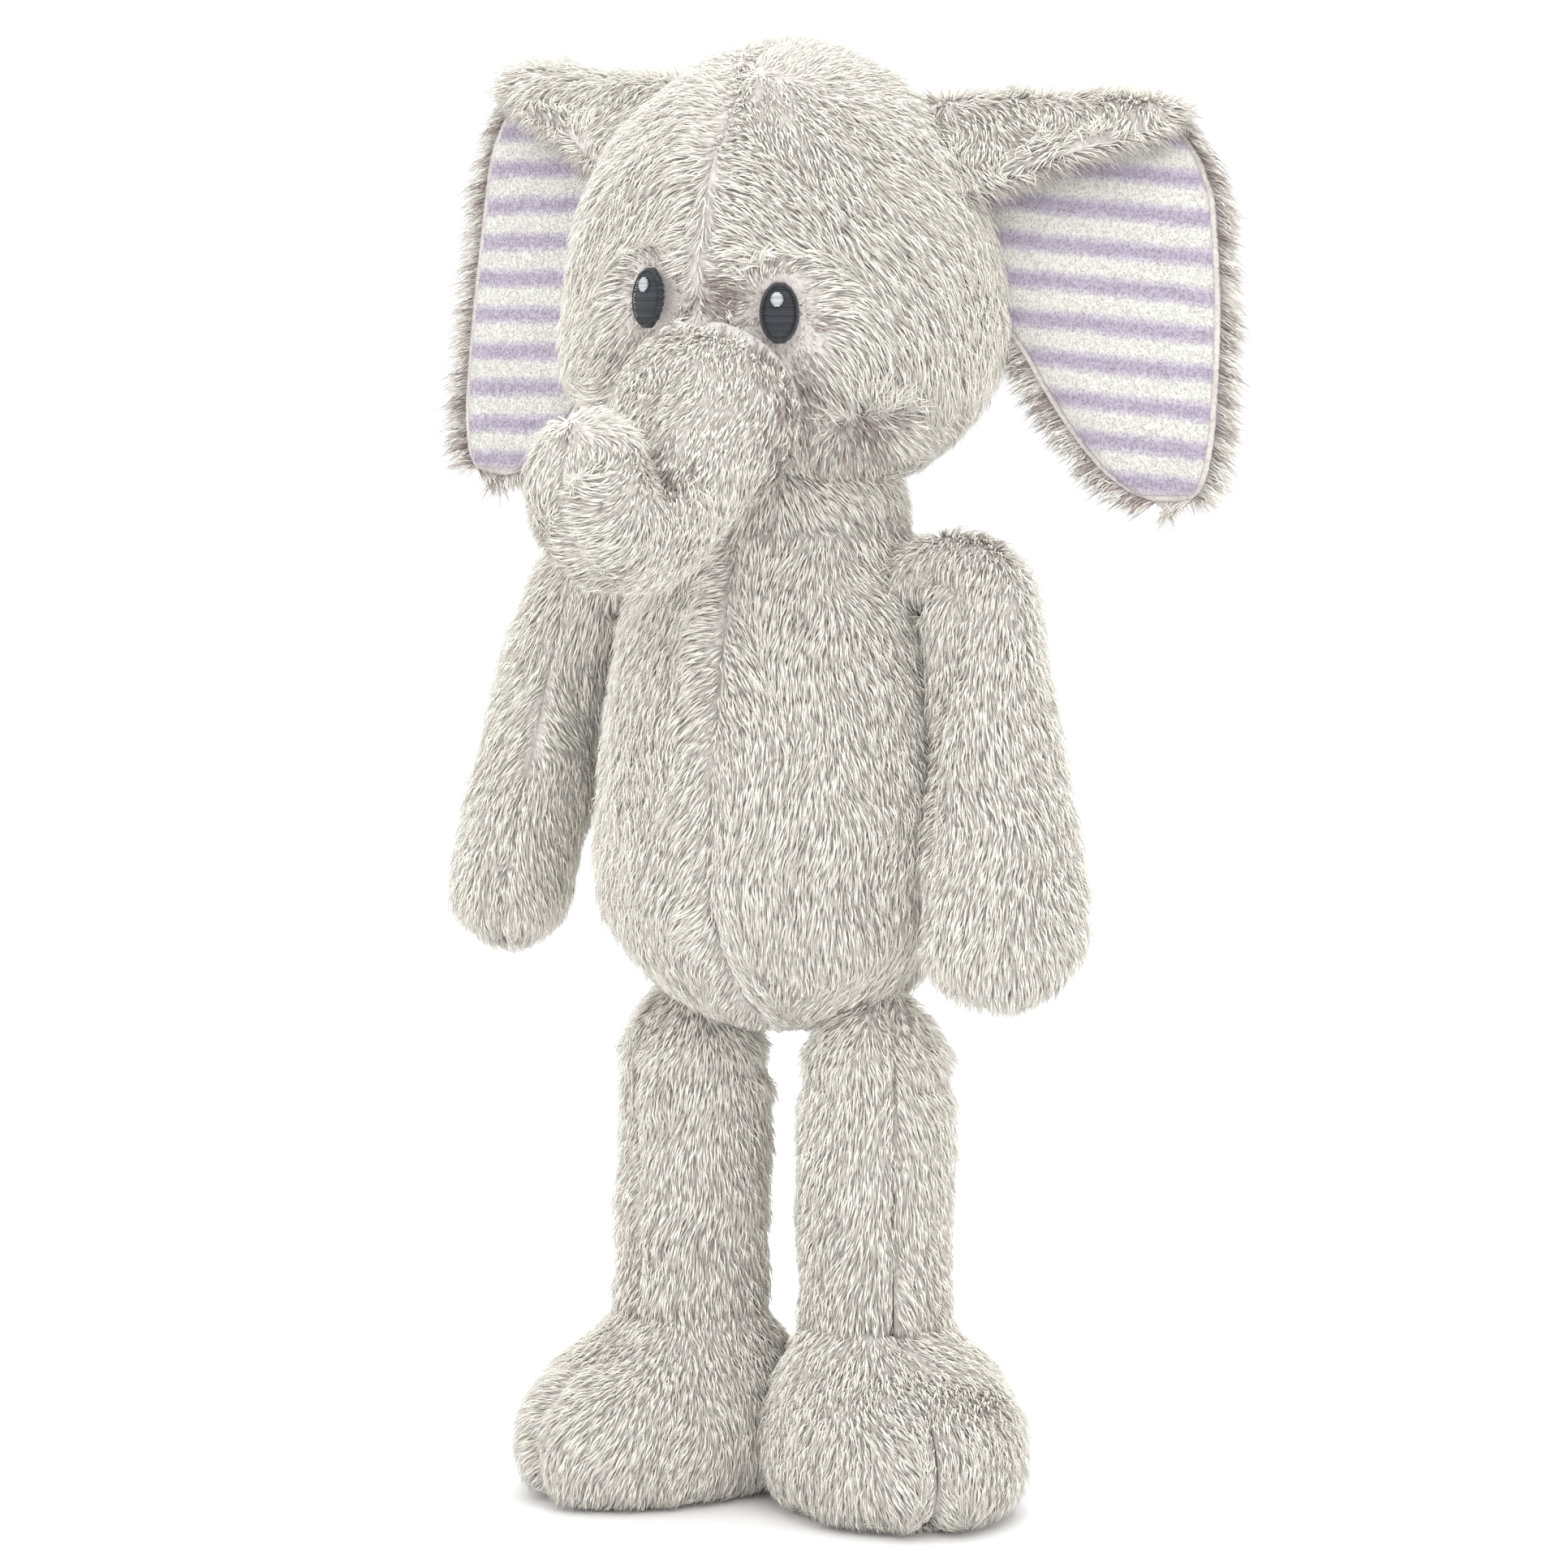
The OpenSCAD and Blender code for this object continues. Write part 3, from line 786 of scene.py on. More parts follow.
def make_neck():
    turn = np.linspace(0, TURN, 64, endpoint=False)
    tilt = np.radians(np.linspace(-32, 42, 14))
    u, v = np.meshgrid(turn, tilt, indexing="ij")
    r = 31.5 * np.cos(v)
    z = NECK[2] + 27 * np.sin(v)
    patch = Patch(np.stack([r * np.sin(u), BODY_Y - r * np.cos(u), z], -1), wrap=True)
    gathers = 0.9 * np.sin(u * 22) * near(z - NECK[2], 9)
    patch.push(gathers)
    cover("neck_cover", patch, down, constant(6.5), 71, riding("neck"), ("neck_stuffing",))


# ---- tubes: trunk, arms, legs, tail ----

OUTER_ARC = (SEAM_ARC, math.pi - SEAM_ARC)
HALVES = (("outer", OUTER_ARC, 0), ("inner", (-SEAM_ARC, SEAM_ARC - math.pi), 5))


def tube_patch(centres, side_way, front_way, side_r, front_r, arc, count=40, wrap=False):
    """Rings round a middle line. The angle runs from the front way, 0, to the side way, 90 degrees."""
    front_way, side_way = (np.broadcast_to(way, centres.shape) for way in (front_way, side_way))
    u = np.linspace(arc[0], arc[1], count, endpoint=not wrap)[:, None, None]
    ring = (
        np.cos(u) * front_way[None] * front_r[None, :, None]
        + np.sin(u) * side_way[None] * side_r[None, :, None]
    )
    return Patch(centres[None] + ring, wrap)


def domed(length, r_start, r_end, steps, dome_steps):
    """Distances along a limb and radii there: a taper, then a round end."""
    s = np.linspace(0, length, steps)
    r = r_start + (r_end - r_start) * smooth_step(s, 0, length)
    angle = np.linspace(0, math.pi / 2, dome_steps + 1)[1:]
    return (
        np.concatenate([s, length + r_end * np.sin(angle)]),
        np.concatenate([r, r_end * np.maximum(np.cos(angle), 0.004)]),
    )


def oriented(patch):
    """Turns the normals outwards, away from the patch's own middle line."""
    middle = patch.points.mean(0, keepdims=True)
    if ((patch.points - middle) * patch.normals).sum() < 0:
        patch.outward = -patch.outward
        patch.normals = -patch.normals
    return patch


def trunk_way():
    return unit(CURL_START - TRUNK_ROOT)


def trunk_distance(points):
    """Distance from the trunk's straight middle line."""
    return length_of(np.cross(points - TRUNK_ROOT, trunk_way()))


def trunk_frame():
    """The trunk's own plane: forwards, and towards the toy's left."""
    ahead = CURL_START - TRUNK_ROOT
    ahead = unit(np.array([ahead[0], ahead[1], 0.0]))
    return ahead, unit(np.cross(ahead, np.array([0, 0, 1.0]))) * -1


def curl_line(angles):
    """Points on the curl's middle line, with the way along it and the way out of its inside."""
    ahead, _ = trunk_frame()
    up = np.array([0, 0, 1.0])
    slope = math.acos(float(np.clip(trunk_way() @ ahead, -1, 1)))
    centre = CURL_START + CURL_RADIUS * (math.sin(slope) * ahead + math.cos(slope) * up)
    from_centre = -math.pi / 2 - slope + angles
    spoke = np.cos(from_centre)[:, None] * ahead + np.sin(from_centre)[:, None] * up
    along = -np.sin(from_centre)[:, None] * ahead + np.cos(from_centre)[:, None] * up
    return centre + spoke * CURL_RADIUS + TRUNK_SAG, along, spoke


def trunk_comb(points):
    """Along the trunk and a little down."""
    ahead, _ = trunk_frame()
    return 0.75 * ahead + 0.75 * down(points)


def tip_comb(points):
    """Round the curl, out of its inside, and a little down."""
    ahead, left = trunk_frame()
    centre = curl_line(np.array([0.0]))[0][0] + np.array([0, 0, CURL_RADIUS])
    offset = points - centre
    spoke = unit(offset - left * (offset @ left)[..., None])
    along = np.cross(spoke, left)
    if (along.reshape(-1, 3) @ ahead).mean() < 0:
        along = -along
    return along * 0.6 + down(points) * 0.7


def make_trunk():
    _, left = trunk_frame()
    way = trunk_way()
    reach = np.linalg.norm(CURL_START - TRUNK_ROOT)
    top = unit(np.cross(left, way))
    if top[2] < 0:
        top = -top
    s = np.linspace(-8, reach + 6, 34)
    r = ROOT_RADIUS + (END_RADIUS + 0.4 - ROOT_RADIUS) * np.clip(s / reach, 0, 1.05)
    r += 1.6 * near(s - 9, 10) - 1.2 * near(s + 4, 5) - 7 * smooth_step(s, reach + 1, reach + 7)
    sag = 0.4 + 0.6 * smooth_step(s, -8, reach)
    centres = TRUNK_ROOT + s[:, None] * way + TRUNK_SAG * sag[:, None]
    curl, along, spoke = curl_line(np.arange(20) / 19 * CURL_TURN)
    dome = np.linspace(0, math.pi / 2, 12)[1:]
    tip = curl[-1] + along[-1] * (END_RADIUS * np.sin(dome))[:, None]
    lead = CURL_START + TRUNK_SAG - way * np.array([6.0, 3.0])[:, None]
    line = np.concatenate([lead, curl, tip])
    outs = np.concatenate([np.repeat(-top[None], 2, 0), spoke, np.repeat(spoke[-1:], len(tip), 0)])
    radii = np.concatenate([
        np.full(2, END_RADIUS + 0.6),
        END_RADIUS + 0.6 - 1.2 * np.linspace(0, 1, 20),
        (END_RADIUS - 0.6) * np.maximum(np.cos(dome), 0.004),
    ])
    for side, name, seed in ((1, "left", 81), (-1, "right", 91)):
        base = oriented(tube_patch(centres, side * left, top, r, r, OUTER_ARC))
        base.soften(seed, 0.5)
        cover(
            "trunk_base_" + name, base, trunk_comb, constant(6.2), seed,
            bending(TRUNK_ROOT - way * 2, TRUNK_ROOT + way * 16),
            ("trunk_base_stuffing",) if side > 0 else (), lean=(62, 84),
        )
        curled = oriented(tube_patch(line, side * left, -outs, radii, radii, OUTER_ARC, 34))
        curled.soften(seed + 3, 0.4)
        cover(
            "trunk_tip_" + name, curled, tip_comb, constant(6.0), seed + 3,
            bending(CURL_START - way * 3, CURL_START + way * 12),
            ("trunk_tip_stuffing",) if side > 0 else (), lean=(60, 83),
        )


def limb_frame(side, spread, swing):
    """Unit ways of a hanging limb: along it, towards its outer side, and towards its front."""
    along = np.array([side * math.sin(spread), 0, -math.cos(spread)])
    outer = np.array([side * math.cos(spread), 0, math.sin(spread)])
    front = np.array([0, -1.0, 0])
    c, s = math.cos(swing), math.sin(swing)
    turn = np.array([[1, 0, 0], [0, c, s], [0, -s, c]])
    return along @ turn.T, outer @ turn.T, front @ turn.T


ARM_LENGTH = 82
SHOULDER_BEND = 12.0


def make_arms():
    """Flattened arms that come out of the body sideways, bend down at the shoulder and end in a paw."""
    for side, name, spread, swing, twist, length, seed in (
        (1, "left", 7, 8, 45, ARM_LENGTH + 3, 111), (-1, "right", 15, 0, 18, ARM_LENGTH - 4, 131),
    ):
        shoulder = joint_at(name + "_arm_swing")
        along, outer, front = limb_frame(side, math.radians(spread), math.radians(swing))
        s, r = domed(length, 14.4, 16.6, 40, 14)
        paw = smooth_step(s, 6, 74)
        thin, broad = r * (1 - 0.14 * paw), r * (1.0 + 0.24 * paw)
        bow = 3.0 * np.sin(np.clip(s / 96, 0, 1) * math.pi)
        centres = shoulder + s[:, None] * along + bow[:, None] * outer
        turn = math.radians(twist) * smooth_step(s, -5, 45)[:, None]
        front_ways = front * np.cos(turn) - outer * np.sin(turn)
        side_ways = outer * np.cos(turn) + front * np.sin(turn)
        bend = np.linspace(0, math.pi / 2, 9)[:-1]
        corner = shoulder - outer * SHOULDER_BEND
        bend_sides = np.sin(bend)[:, None] * outer - np.cos(bend)[:, None] * along
        inner_run = np.array([[20.0], [12.0], [5.0]])
        start = corner - along * SHOULDER_BEND - outer * inner_run + along * inner_run * 0.15
        centres = np.concatenate([start, corner + bend_sides * SHOULDER_BEND, centres])
        side_ways = np.concatenate([np.repeat(-along[None], 3, 0), bend_sides, side_ways])
        front_ways = np.concatenate([np.repeat(front[None], 11, 0), front_ways])
        grow_r = smooth_step(np.linspace(0, 1, 11), 0, 1)
        thin = np.concatenate([8.0 + 6.4 * grow_r, thin])
        broad = np.concatenate([11.5 + 2.9 * grow_r, broad])
        start = shoulder - outer * 20 - along * 12
        end = shoulder - outer * 8 + along * 2
        attach = bending(start, end)
        for part, arc, extra in HALVES:
            patch = oriented(tube_patch(centres, side_ways, front_ways, thin, broad, arc, 44))
            patch.soften(seed + extra, 0.7)
            stuffing = (name + "_arm_stuffing",) if part == "outer" else ()
            cover(name + "_arm_" + part, patch, down, constant(7.6), seed + extra, attach, stuffing)


def leg_pile(points):
    """None below the ankle's seam, where the leg runs on inside the foot."""
    return np.where(points[..., 2] < 50, 0, 7.8)


def make_legs():
    for side, name, turn, wide, seed in ((1, "left", 38, 1.07, 151), (-1, "right", 28, 1.0, 171)):
        hip = joint_at(name + "_leg_swing")
        foot = hip * np.array([1, 1, 0])
        angle = math.radians(side * turn)
        front = np.array([math.sin(angle), -math.cos(angle), 0])
        outer = np.array([math.cos(angle), math.sin(angle), 0]) * side
        z = np.linspace(SEAT + 12, 45, 54)
        r = curve_through(
            -z, [-SEAT - 12, -SEAT - 6, -SEAT, -118, -96, -66, -51, -45],
            [2, 9.5, 14, 17.8, 18.4, 18.2, 18.6, 16.5],
        )
        r = r + 0.9 * np.sin((z - 104) / 2.4) * near(z - 117, 7)
        rings = foot + np.stack([0 * z, 0 * z, z], -1)
        attach = bending(hip + np.array([0, 0, 14]), hip - np.array([0, 0, 8]))
        for part, arc, extra in HALVES:
            patch = oriented(tube_patch(rings, outer, front, r, r, arc))
            patch.soften(seed + extra, 0.7)
            stuffing = (name + "_leg_stuffing",) if part == "outer" else ()
            cover(name + "_leg_" + part, patch, down, leg_pile, seed + extra, attach, stuffing)
            shoe = oriented(foot_patch(foot, outer, front, arc, wide))
            shoe.soften(seed + extra + 9, 0.6)
            stuffing = (name + "_foot_stuffing",) if part == "outer" else ()
            cover(
                name + "_foot_" + part, shoe, foot_comb(foot, front), foot_pile, seed + extra + 9,
                riding(name + "_leg"), stuffing,
            )
        make_sole(name, foot, outer, front, wide, seed + 19)


FOOT_HEIGHTS = [1.2, 3.5, 8, 15, 24, 33, 41, 49.5]
FOOT_LENGTHS = [32, 38, 42, 43.5, 41.5, 35.5, 26.5, 18.7]
FOOT_WIDTHS = [21, 25.5, 29, 30.4, 29.6, 26.4, 22.2, 18.7]
FOOT_SHIFTS = [7.5, 8, 8.6, 9, 8.6, 6.2, 2.8, 0]


def foot_patch(foot, outer, front, arc, wide):
    """Half of a foot's cover, from the ankle down; a wide one grows on its outer side."""
    z = np.linspace(FOOT_HEIGHTS[-1], FOOT_HEIGHTS[0], 42)
    length, width, shift = (
        curve_through(z, FOOT_HEIGHTS, values) for values in (FOOT_LENGTHS, FOOT_WIDTHS, FOOT_SHIFTS)
    )
    grown = (wide - 1) * width * smooth_step(-z, -49, -36)
    width = width + grown
    centres = foot + front * shift[:, None] + outer * grown[:, None] + np.stack([0 * z, 0 * z, z], -1)
    return tube_patch(centres, outer, front, width, length, arc, 44)


def foot_comb(foot, front):
    def way(points):
        out = points - foot
        out[..., 2] = 0
        return unit(out) * 0.45 + front * 0.25 + down(points) * 0.8
    return way


def foot_pile(points):
    """Shorter towards the ankle's seam and towards the ground."""
    z = points[..., 2]
    return 7.6 - 1.8 * near(z - 50, 4) - 2.6 * smooth_step(-z, -9, -1)


def make_sole(name, foot, outer, front, wide, seed):
    """The flat sole, with its pile pressed short by the toy's weight."""
    rim = np.linspace(0, TURN, 72, endpoint=False)
    scale = np.concatenate([np.linspace(0.002, 0.97, 14), [0.99, 1.0, 0.99, 0.97]])
    z = np.concatenate([np.full(14, 1.1), [1.25, 1.6, 2.1, 2.5]])
    u, k = np.meshgrid(rim, scale, indexing="ij")
    points = (
        foot + front * FOOT_SHIFTS[0]
        + outer * (np.sin(u) * k * 21.8 * wide + (wide - 1) * 21)[..., None]
        + front * (np.cos(u) * k * 32.8)[..., None]
    )
    points[..., 2] = z[None]
    patch = Patch(points, wrap=True)
    if patch.normals[:, 3, 2].mean() > 0:
        patch = Patch(points, wrap=True, outward=-1)
    cover(
        name + "_sole", patch, lambda p: 0 * p + front, constant(3.2), seed, riding(name + "_leg"),
        fill=0.3, thick=0.9, lean=(64, 84),
    )


def make_tail():
    pivot = joint_at("tail_lift")
    way = unit(np.array([0, math.sin(math.radians(12)), -math.cos(math.radians(12))]))
    side_way = np.array([1.0, 0, 0])
    front_way = np.cross(side_way, way)

    def ring_patch(s, r):
        centres = pivot + s[:, None] * way
        return oriented(tube_patch(centres, side_way, front_way, r, r, (0, TURN), 24, wrap=True))

    s = np.linspace(-3, 34, 18)
    patch = ring_patch(s, 4.4 - 1.4 * np.clip(s / 34, 0, 1))
    cover("tail_cover", patch, down, constant(5.2), 191, riding("tail"))
    s = np.linspace(33.5, 45, 10)
    patch = ring_patch(s, curve_through(s, [33.5, 37, 41, 45], [2.8, 4.2, 4.4, 1.0]))
    cover("tail_tuft", patch, down, constant(10), 193, riding("tail"), lean=(35, 72), thick=0.8)


# ---- ears ----

EAR_SWEEP = math.radians(20)
FOLD_TURN = math.pi - math.radians(35)
FOLD_RADIUS = 4.6
FOLD_RUN = FOLD_TURN * FOLD_RADIUS
FOLD_Y = -3.35
STRIPE_PITCH = 10.2
EAR_LOW = -78.0
FLAP_LENGTH = 28.0
STRIPE_SLOPE = 0.10
LINING_INSET = 1.8


def ear_edges(t, fold_z):
    """Inner and outer edge of the ear's cloth at height t, which runs on over the fold to the flap."""
    top = fold_z + FOLD_RUN
    inner = curve_through(
        t,
        [EAR_LOW, -76, -68, -50, -37, -29, 0, fold_z, top, top + FLAP_LENGTH],
        [45, 39, 29, 16, 8.5, 3.0, -7.5, -15.5, -17.0, -17.0],
    )
    outer = curve_through(
        t,
        [EAR_LOW, -76.5, -70, -56, -30, 0, fold_z - 10, fold_z, top, top + 3, top + 6, top + 10,
         top + 15, top + 21, top + 26, top + FLAP_LENGTH],
        [51, 56, 59, 61.0, 62, 60.5, 56.5, 50.5, 48.5, 46.5, 43, 33, 19, 6, -4, -11],
    )
    return inner, outer


def ear_surface(x, t, out, side, lift, fold_z):
    """Point of the ear at distance out behind the fold's axis, where the cloth's own place is (x, t)."""
    bent = np.clip((t - fold_z) / FOLD_RUN, 0, 1) * FOLD_TURN
    past = np.maximum(t - fold_z - FOLD_RUN, 0)
    below = np.minimum(t - fold_z, 0)
    y = FOLD_Y + out * np.cos(bent) - past * math.sin(FOLD_TURN)
    z = fold_z + out * np.sin(bent) + past * math.cos(FOLD_TURN) + below
    cup = 0.0016 * np.clip(x - 8, 0, 60) ** 2 * near(np.maximum(t - 10, 0), 14)
    y = y - cup + 1.3 * np.sin((t + 10) / 19 + x / 33) * smooth_step(x, 5, 30)
    c, s = math.cos(lift), math.sin(lift)
    x, z = x * c - z * s, x * s + z * c
    c, s = math.cos(EAR_SWEEP), math.sin(EAR_SWEEP)
    x, y = x * c - y * s, x * s + y * c
    root = joint_at("left_ear_flap")
    return np.stack([side * (root[0] + x), root[1] + y, root[2] + z], -1)


def ear_grid(inset, out, side, lift, fold_z, nu, nv):
    """Points of one layer of the ear, with their own place in the flat cloth."""
    t_low, t_high = EAR_LOW + inset, fold_z + FOLD_RUN + FLAP_LENGTH - inset
    bend = 0.5 - 0.5 * np.cos(np.linspace(0, math.pi, nv))
    t = t_low + (t_high - t_low) * (0.7 * np.linspace(0, 1, nv) + 0.3 * bend)
    inner, outer = ear_edges(t, fold_z)
    across = 0.5 - 0.5 * np.cos(np.linspace(0, math.pi, nu))
    across = 0.5 * across + 0.5 * np.linspace(0, 1, nu)
    x = (inner + inset)[None] + across[:, None] * (outer - inner - 2 * inset)[None]
    t = np.broadcast_to(t[None], x.shape)
    u = np.abs(across * 2 - 1)[:, None]
    w = np.abs(np.linspace(-1, 1, nv))[None]
    return x, t, ear_surface(x, t, out(np.maximum(u, w)), side, lift, fold_z)


def facing(points, behind):
    """Patch whose normals look away from the grid behind it."""
    patch = Patch(points)
    if (patch.normals * (points - behind)).sum() < 0:
        patch = Patch(points, outward=-1)
    return patch


def short_pile(name, points, n, stripe, rng):
    """The lining's own short pile: straight four-cornered tufts that carry the stripe under them."""
    count = len(points)
    length = rng.uniform(0.3, 0.55, count)[:, None]
    lean = unit(n + 0.3 * rng.normal(size=(count, 3)) + np.array([0, 0, -0.5]))
    across = unit(np.cross(n, rng.normal(size=(count, 3))))
    other = np.cross(n, across)
    corners = np.empty((count, 4, 3))
    for k in range(3):
        angle = TURN * k / 3
        corners[:, k] = points - n * 0.25 + (across * math.cos(angle) + other * math.sin(angle)) * 0.42
    corners[:, 3] = points + lean * length
    return pile_mesh(name, [(corners, STRAIGHT)], {"stripe": np.repeat(stripe, 4)}, LINING)


def make_ear(side, name, lift_degrees, fold_z, seed):
    """An ear's two layers of cloth, the long pile on its back and edge, and the short pile on its lining."""
    lift = math.radians(lift_degrees)
    nu, nv = 46, 96
    puff = lambda rim: 1 - rim**4
    _, t, back_out = ear_grid(0.0, lambda k: 4.4 + 1.6 * puff(k), side, lift, fold_z, nu, nv)
    _, _, back_in = ear_grid(0.0, lambda k: 3.5, side, lift, fold_z, nu, nv)
    x_l, t_l, lining_in = ear_grid(LINING_INSET, lambda k: 3.4, side, lift, fold_z, nu, nv)
    _, _, lining_out = ear_grid(LINING_INSET, lambda k: 2.9 - 1.8 * puff(k), side, lift, fold_z, nu, nv)
    root = joint_at(name + "_ear_flap")
    out_way = np.array([side * math.cos(EAR_SWEEP), math.sin(EAR_SWEEP), 0])
    attach = bending(root - out_way * 9, root + out_way * 3)
    skin = face_outwards(slab("cloth_" + name + "_ear_back", back_in, back_out, SKIN))
    lining = face_outwards(slab("cloth_" + name + "_ear_lining", lining_out, lining_in, LINING))
    stripes = (t_l + x_l * STRIPE_SLOPE) / STRIPE_PITCH + 40
    set_values(lining, "stripe", np.stack([stripes, stripes]))

    patch = facing(back_out, back_in)
    rng = np.random.default_rng(seed)
    along_u, along_v = (unit(np.gradient(back_out, axis=axis)) for axis in (0, 1))
    ways = np.where((t > fold_z)[..., None], along_v, -along_v) * 0.8 + out_way * 0.45
    u = np.linspace(-1, 1, nu)[:, None, None]
    w = np.linspace(-1, 1, nv)[None, :, None]
    ways = ways + along_u * np.sign(u) * 1.6 * near(1 - np.abs(u), 0.12)
    ways = ways + along_v * np.sign(w) * 1.6 * near(1 - np.abs(w), 0.05)
    ways = ways + 0.4 * wave_vector(seed, 11)(back_out)
    length = 7.2 * (1 + 0.1 * waves(seed + 4, 9)(back_out))
    roots, n, way, long = scattered(patch, [ways, length[..., None]], FUR_DENSITY, rng)
    fur = grow_from("fur_" + name + "_ear_back", roots, n, way, long, rng, lean=(58, 82))

    rim_fur = ear_rim(name, back_out, back_in, seed + 9)
    face = facing(lining_out, lining_in)
    density = 4.0
    points, n, stripe = scattered(face, [stripes[..., None]], density, rng)
    fuzz = short_pile("pile_" + name + "_ear_lining", points, unit(n), stripe[:, 0], rng)
    for piece in (skin, lining, fur, rim_fur, fuzz):
        attach(piece)
    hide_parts(name + "_ear_back")
    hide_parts(name + "_ear_lining")


def ear_rim(name, outer, inner, seed):
    """Fringe of pile along the ear's edge, where the fur panel is turned to meet the lining."""
    rng = np.random.default_rng(seed)
    loop, behind = (
        np.concatenate([grid[:, 0], grid[-1, 1:], grid[-2::-1, -1], grid[0, -2:0:-1]])
        for grid in (outer, inner)
    )
    inside = np.concatenate([outer[:, 1], outer[-2, 1:], outer[-2::-1, -2], outer[1, -2:0:-1]])
    step = length_of(np.roll(loop, -1, 0) - loop)
    count = int(step.sum() * 7 * FUR_DENSITY)
    i = rng.choice(len(loop), count, p=step / step.sum())
    k = (i + 1) % len(loop)
    f, g = rng.random((count, 1)), rng.random((count, 1))
    top = loop[i] + (loop[k] - loop[i]) * f
    low = behind[i] + (behind[k] - behind[i]) * f
    roots = top + (low - top) * g
    outwards = unit(loop[i] - inside[i])
    tilt = unit(top - low)
    n = unit(outwards + tilt * (0.8 - 1.5 * g))
    comb = np.array([0, 0, -0.75]) + 0.25 * rng.normal(size=(count, 3)) + outwards * 0.2
    length = rng.uniform(7.5, 10.0, (count, 1))
    return grow_from("fur_" + name + "_ear_rim", roots, n, comb, length, rng, lean=(18, 44), dull=0.45)


# ---- embroidery ----

def thread_strip(start, end, arch, n, radius, sides=6, steps=7):
    """One stitch: a flattened round thread that arches a little over the cloth from start to end."""
    t = np.linspace(0, 1, steps)[:, None]
    line = start + (end - start) * t + n * (arch * 4 * t * (1 - t))
    across = unit(np.cross(n, unit(end - start)))
    taper = np.clip(np.sin(np.clip(t, 0.04, 0.96) * math.pi) * 2.2, 0.35, 1)
    angles = np.arange(sides) / sides * TURN
    c, s = np.cos(angles)[:, None, None], np.sin(angles)[:, None, None]
    ring = c * across * radius + s * n * radius * 0.7
    points = line[None] + ring * taper[None]
    faces = grid_faces(sides, steps, True).tolist()
    faces.append([k * steps for k in range(sides)])
    faces.append([k * steps + steps - 1 for k in reversed(range(sides))])
    return points.reshape(-1, 3), faces


def embroidered(name, stitches, material, seed):
    """Joins stitches into one mesh with a tone for each."""
    rng = np.random.default_rng(seed)
    points, faces, tones, total = [], [], [], 0
    for stitch in stitches:
        p, f = thread_strip(*stitch)
        points.append(p)
        faces += [[v + total for v in face] for face in f]
        tones += [rng.random()] * len(p)
        total += len(p)
    obj = make_mesh(name, np.concatenate(points), faces, material)
    set_values(obj, "tone", tones)
    return face_outwards(obj)


def oval_point(side, a, b, across_r, rise_r, lift):
    """Point on the head at (a, b) of an oval's radii from the eye's middle, raised by lift."""
    turn = side * EYE_TURN + FACE_TURN
    z = EYE_Z[side] + b * rise_r
    centre, way = on_head(turn, z, lift)
    across = np.array([math.cos(turn), math.sin(turn), 0])
    return centre + across * a * across_r - way * (a * across_r) ** 2 / (2 * HEAD_RADIUS), way


def eye_stitches(side, across_r, rise_r, middle, lift, rows, arch=None, radius=None):
    """Satin fill of level stitches from the bottom to the top of an oval."""
    stitches = []
    shift, rise = middle[0] / across_r, middle[1] / rise_r
    for k in range(rows):
        b = -1 + 2 * (k + 0.5) / rows
        half = math.sqrt(max(0, 1 - b * b))
        start, way = oval_point(side, -half + shift, b + rise, across_r, rise_r, lift)
        end, _ = oval_point(side, half + shift, b + rise, across_r, rise_r, lift)
        stitches.append((start, end, arch or 0.5 * half, way, radius or rise_r / rows * 1.25))
    return stitches


def make_eye(side, name):
    """Satin fill over a coarse base, with a border of short stitches and a small light oval on top."""
    lift, count = 1.0, 58
    fill = eye_stitches(side, 4.6, 7.0, (0, 0), lift, 26)
    border = []
    for k in range(count):
        angle = TURN * k / count
        a, b = math.sin(angle), math.cos(angle)
        start, way = oval_point(side, a * 0.82, b * 0.87, 5.2, 7.8, lift + 0.5)
        end, _ = oval_point(side, a, b, 5.2, 7.8, lift - 0.6)
        border.append((start, end, 0.35, way, 0.42))
    base = eye_stitches(side, 4.9, 7.4, (0, 0), lift - 0.8, 9, arch=0.3, radius=1.2)
    eye = embroidered("thread_" + name + "_eye", base + fill + border, EYE_THREAD, 201 + side)
    shine = eye_stitches(side, 1.7, 1.8, (-0.6, 3.4), lift + 1.0, 8)
    light = embroidered("thread_" + name + "_eye_highlight", shine, LIGHT_THREAD, 211 + side)
    for piece, node, slot in ((eye, "_eye", "eye_thread"), (light, "_eye_highlight", "highlight_thread")):
        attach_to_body(piece, "head")
        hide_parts(name + node)


def make_mouth_stitch(side, name):
    centre, way = MOUTH[side]
    across = unit(np.cross(np.array([0, 0, 1.0]), way))
    rise = np.cross(way, across)
    deep = centre - way * 5.4
    stitches = []
    for k in range(5):
        angle = math.radians(-50 + 24 * k)
        half = across * math.cos(angle) * 2.4 + rise * math.sin(angle) * 2.4
        stitches.append((deep - half, deep + half, 0.7, way, 0.38))
    knot = embroidered("thread_" + name + "_mouth_stitch", stitches, STITCH_THREAD, 221 + side)
    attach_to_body(knot, "head")
    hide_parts(name + "_mouth_stitch")


# ---- the studio ----

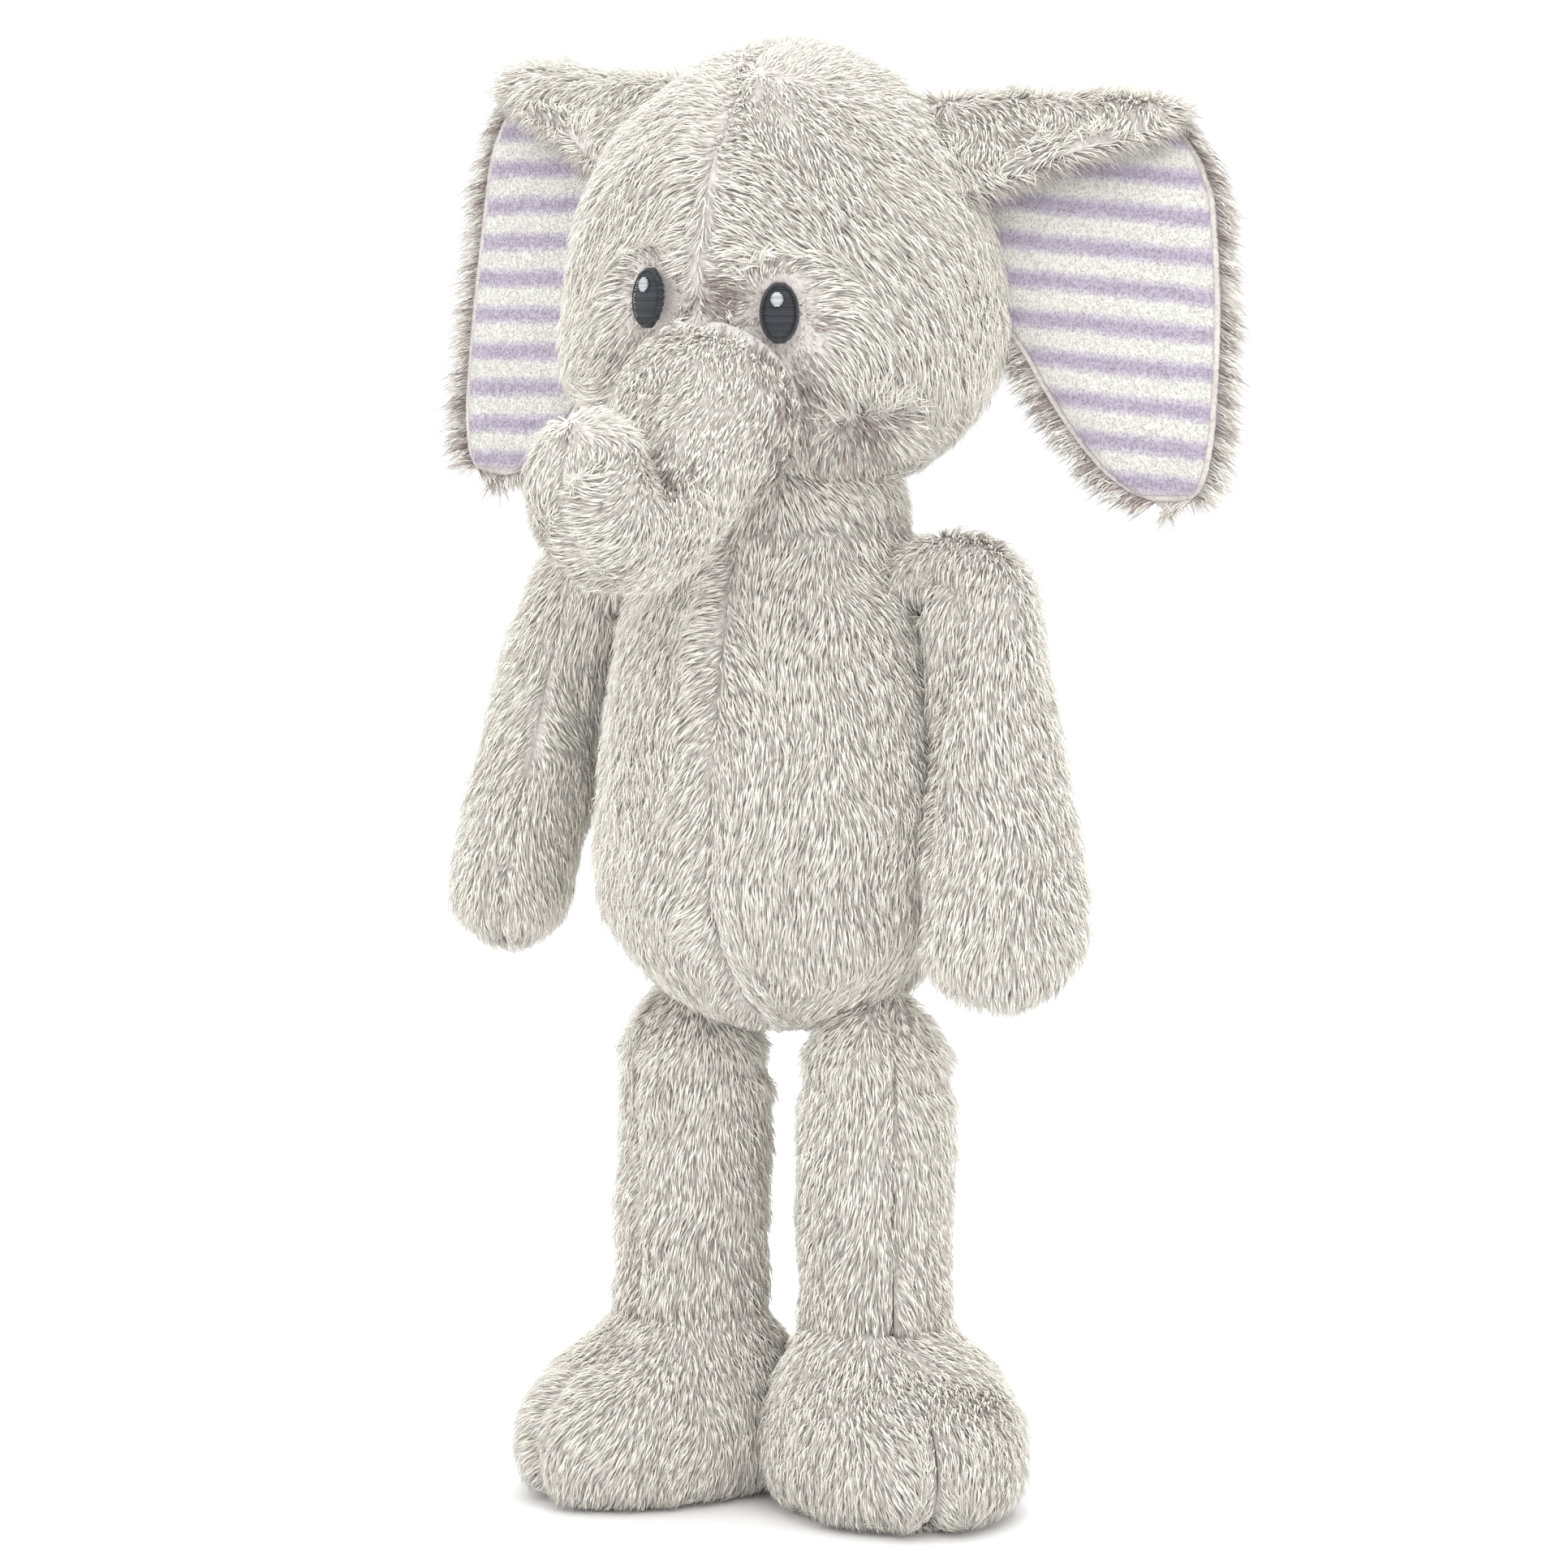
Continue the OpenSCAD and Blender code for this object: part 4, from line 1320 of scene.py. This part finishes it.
def make_studio():
    """Plain white floor, a white surround, and soft lights from the front and from above."""
    look = Look("studio_floor", 0.9, 0.0, 0.05)
    pale = look.coloured(look.ramp(look.noise(6, 2), [(0, (0.93,) * 3), (1, (0.95,) * 3)]))
    corners = np.array([[-1, -1, 0], [1, -1, 0], [1, 1, 0], [-1, 1, 0]]) * 4000.0
    floor = make_mesh("floor", corners, [[0, 1, 2, 3]], pale, smooth=False)
    world = bpy.data.worlds.new("studio")
    world.use_nodes = True
    world.node_tree.nodes["Background"].inputs["Color"].default_value = (1, 1, 1, 1)
    world.node_tree.nodes["Background"].inputs["Strength"].default_value = 1.12
    bpy.context.scene.world = world
    middle = Vector((0, BODY_Y * MM, 0.2))
    for name, place, size, power in (
        ("key", (1.0, -1.5, 1.4), 2.2, 24),
        ("fill", (-1.3, -1.3, 0.8), 1.8, 7),
        ("top", (0.1, 0.2, 1.9), 1.4, 11),
    ):
        lamp = bpy.data.lights.new(name, "AREA")
        lamp.size = size
        lamp.energy = power
        obj = placed(name, lamp)
        obj.location = place
        obj.rotation_euler = (middle - obj.location).to_track_quat("-Z", "Y").to_euler()
    bpy.context.scene.view_settings.view_transform = "Standard"


def make_camera():
    azimuth, elevation, distance = math.radians(23), math.radians(5), 1.3
    target = Vector((0, BODY_Y * MM, 0.193))
    way = Vector((
        math.sin(azimuth) * math.cos(elevation),
        -math.cos(azimuth) * math.cos(elevation),
        math.sin(elevation),
    ))
    data = bpy.data.cameras.new("camera")
    data.lens = 111
    data.sensor_width = 36
    obj = placed("camera", data)
    obj.location = target + way * distance
    obj.rotation_euler = (-way).to_track_quat("-Z", "Y").to_euler()
    bpy.context.scene.camera = obj


make_head()
make_body()
make_neck()
make_trunk()
make_arms()
make_legs()
make_tail()
make_ear(1, "left", 0, 22.5, 301)
make_ear(-1, "right", 6, 30.0, 331)
for eye_side, eye_name in ((1, "left"), (-1, "right")):
    make_eye(eye_side, eye_name)
    make_mouth_stitch(eye_side, eye_name)
make_studio()
make_camera()
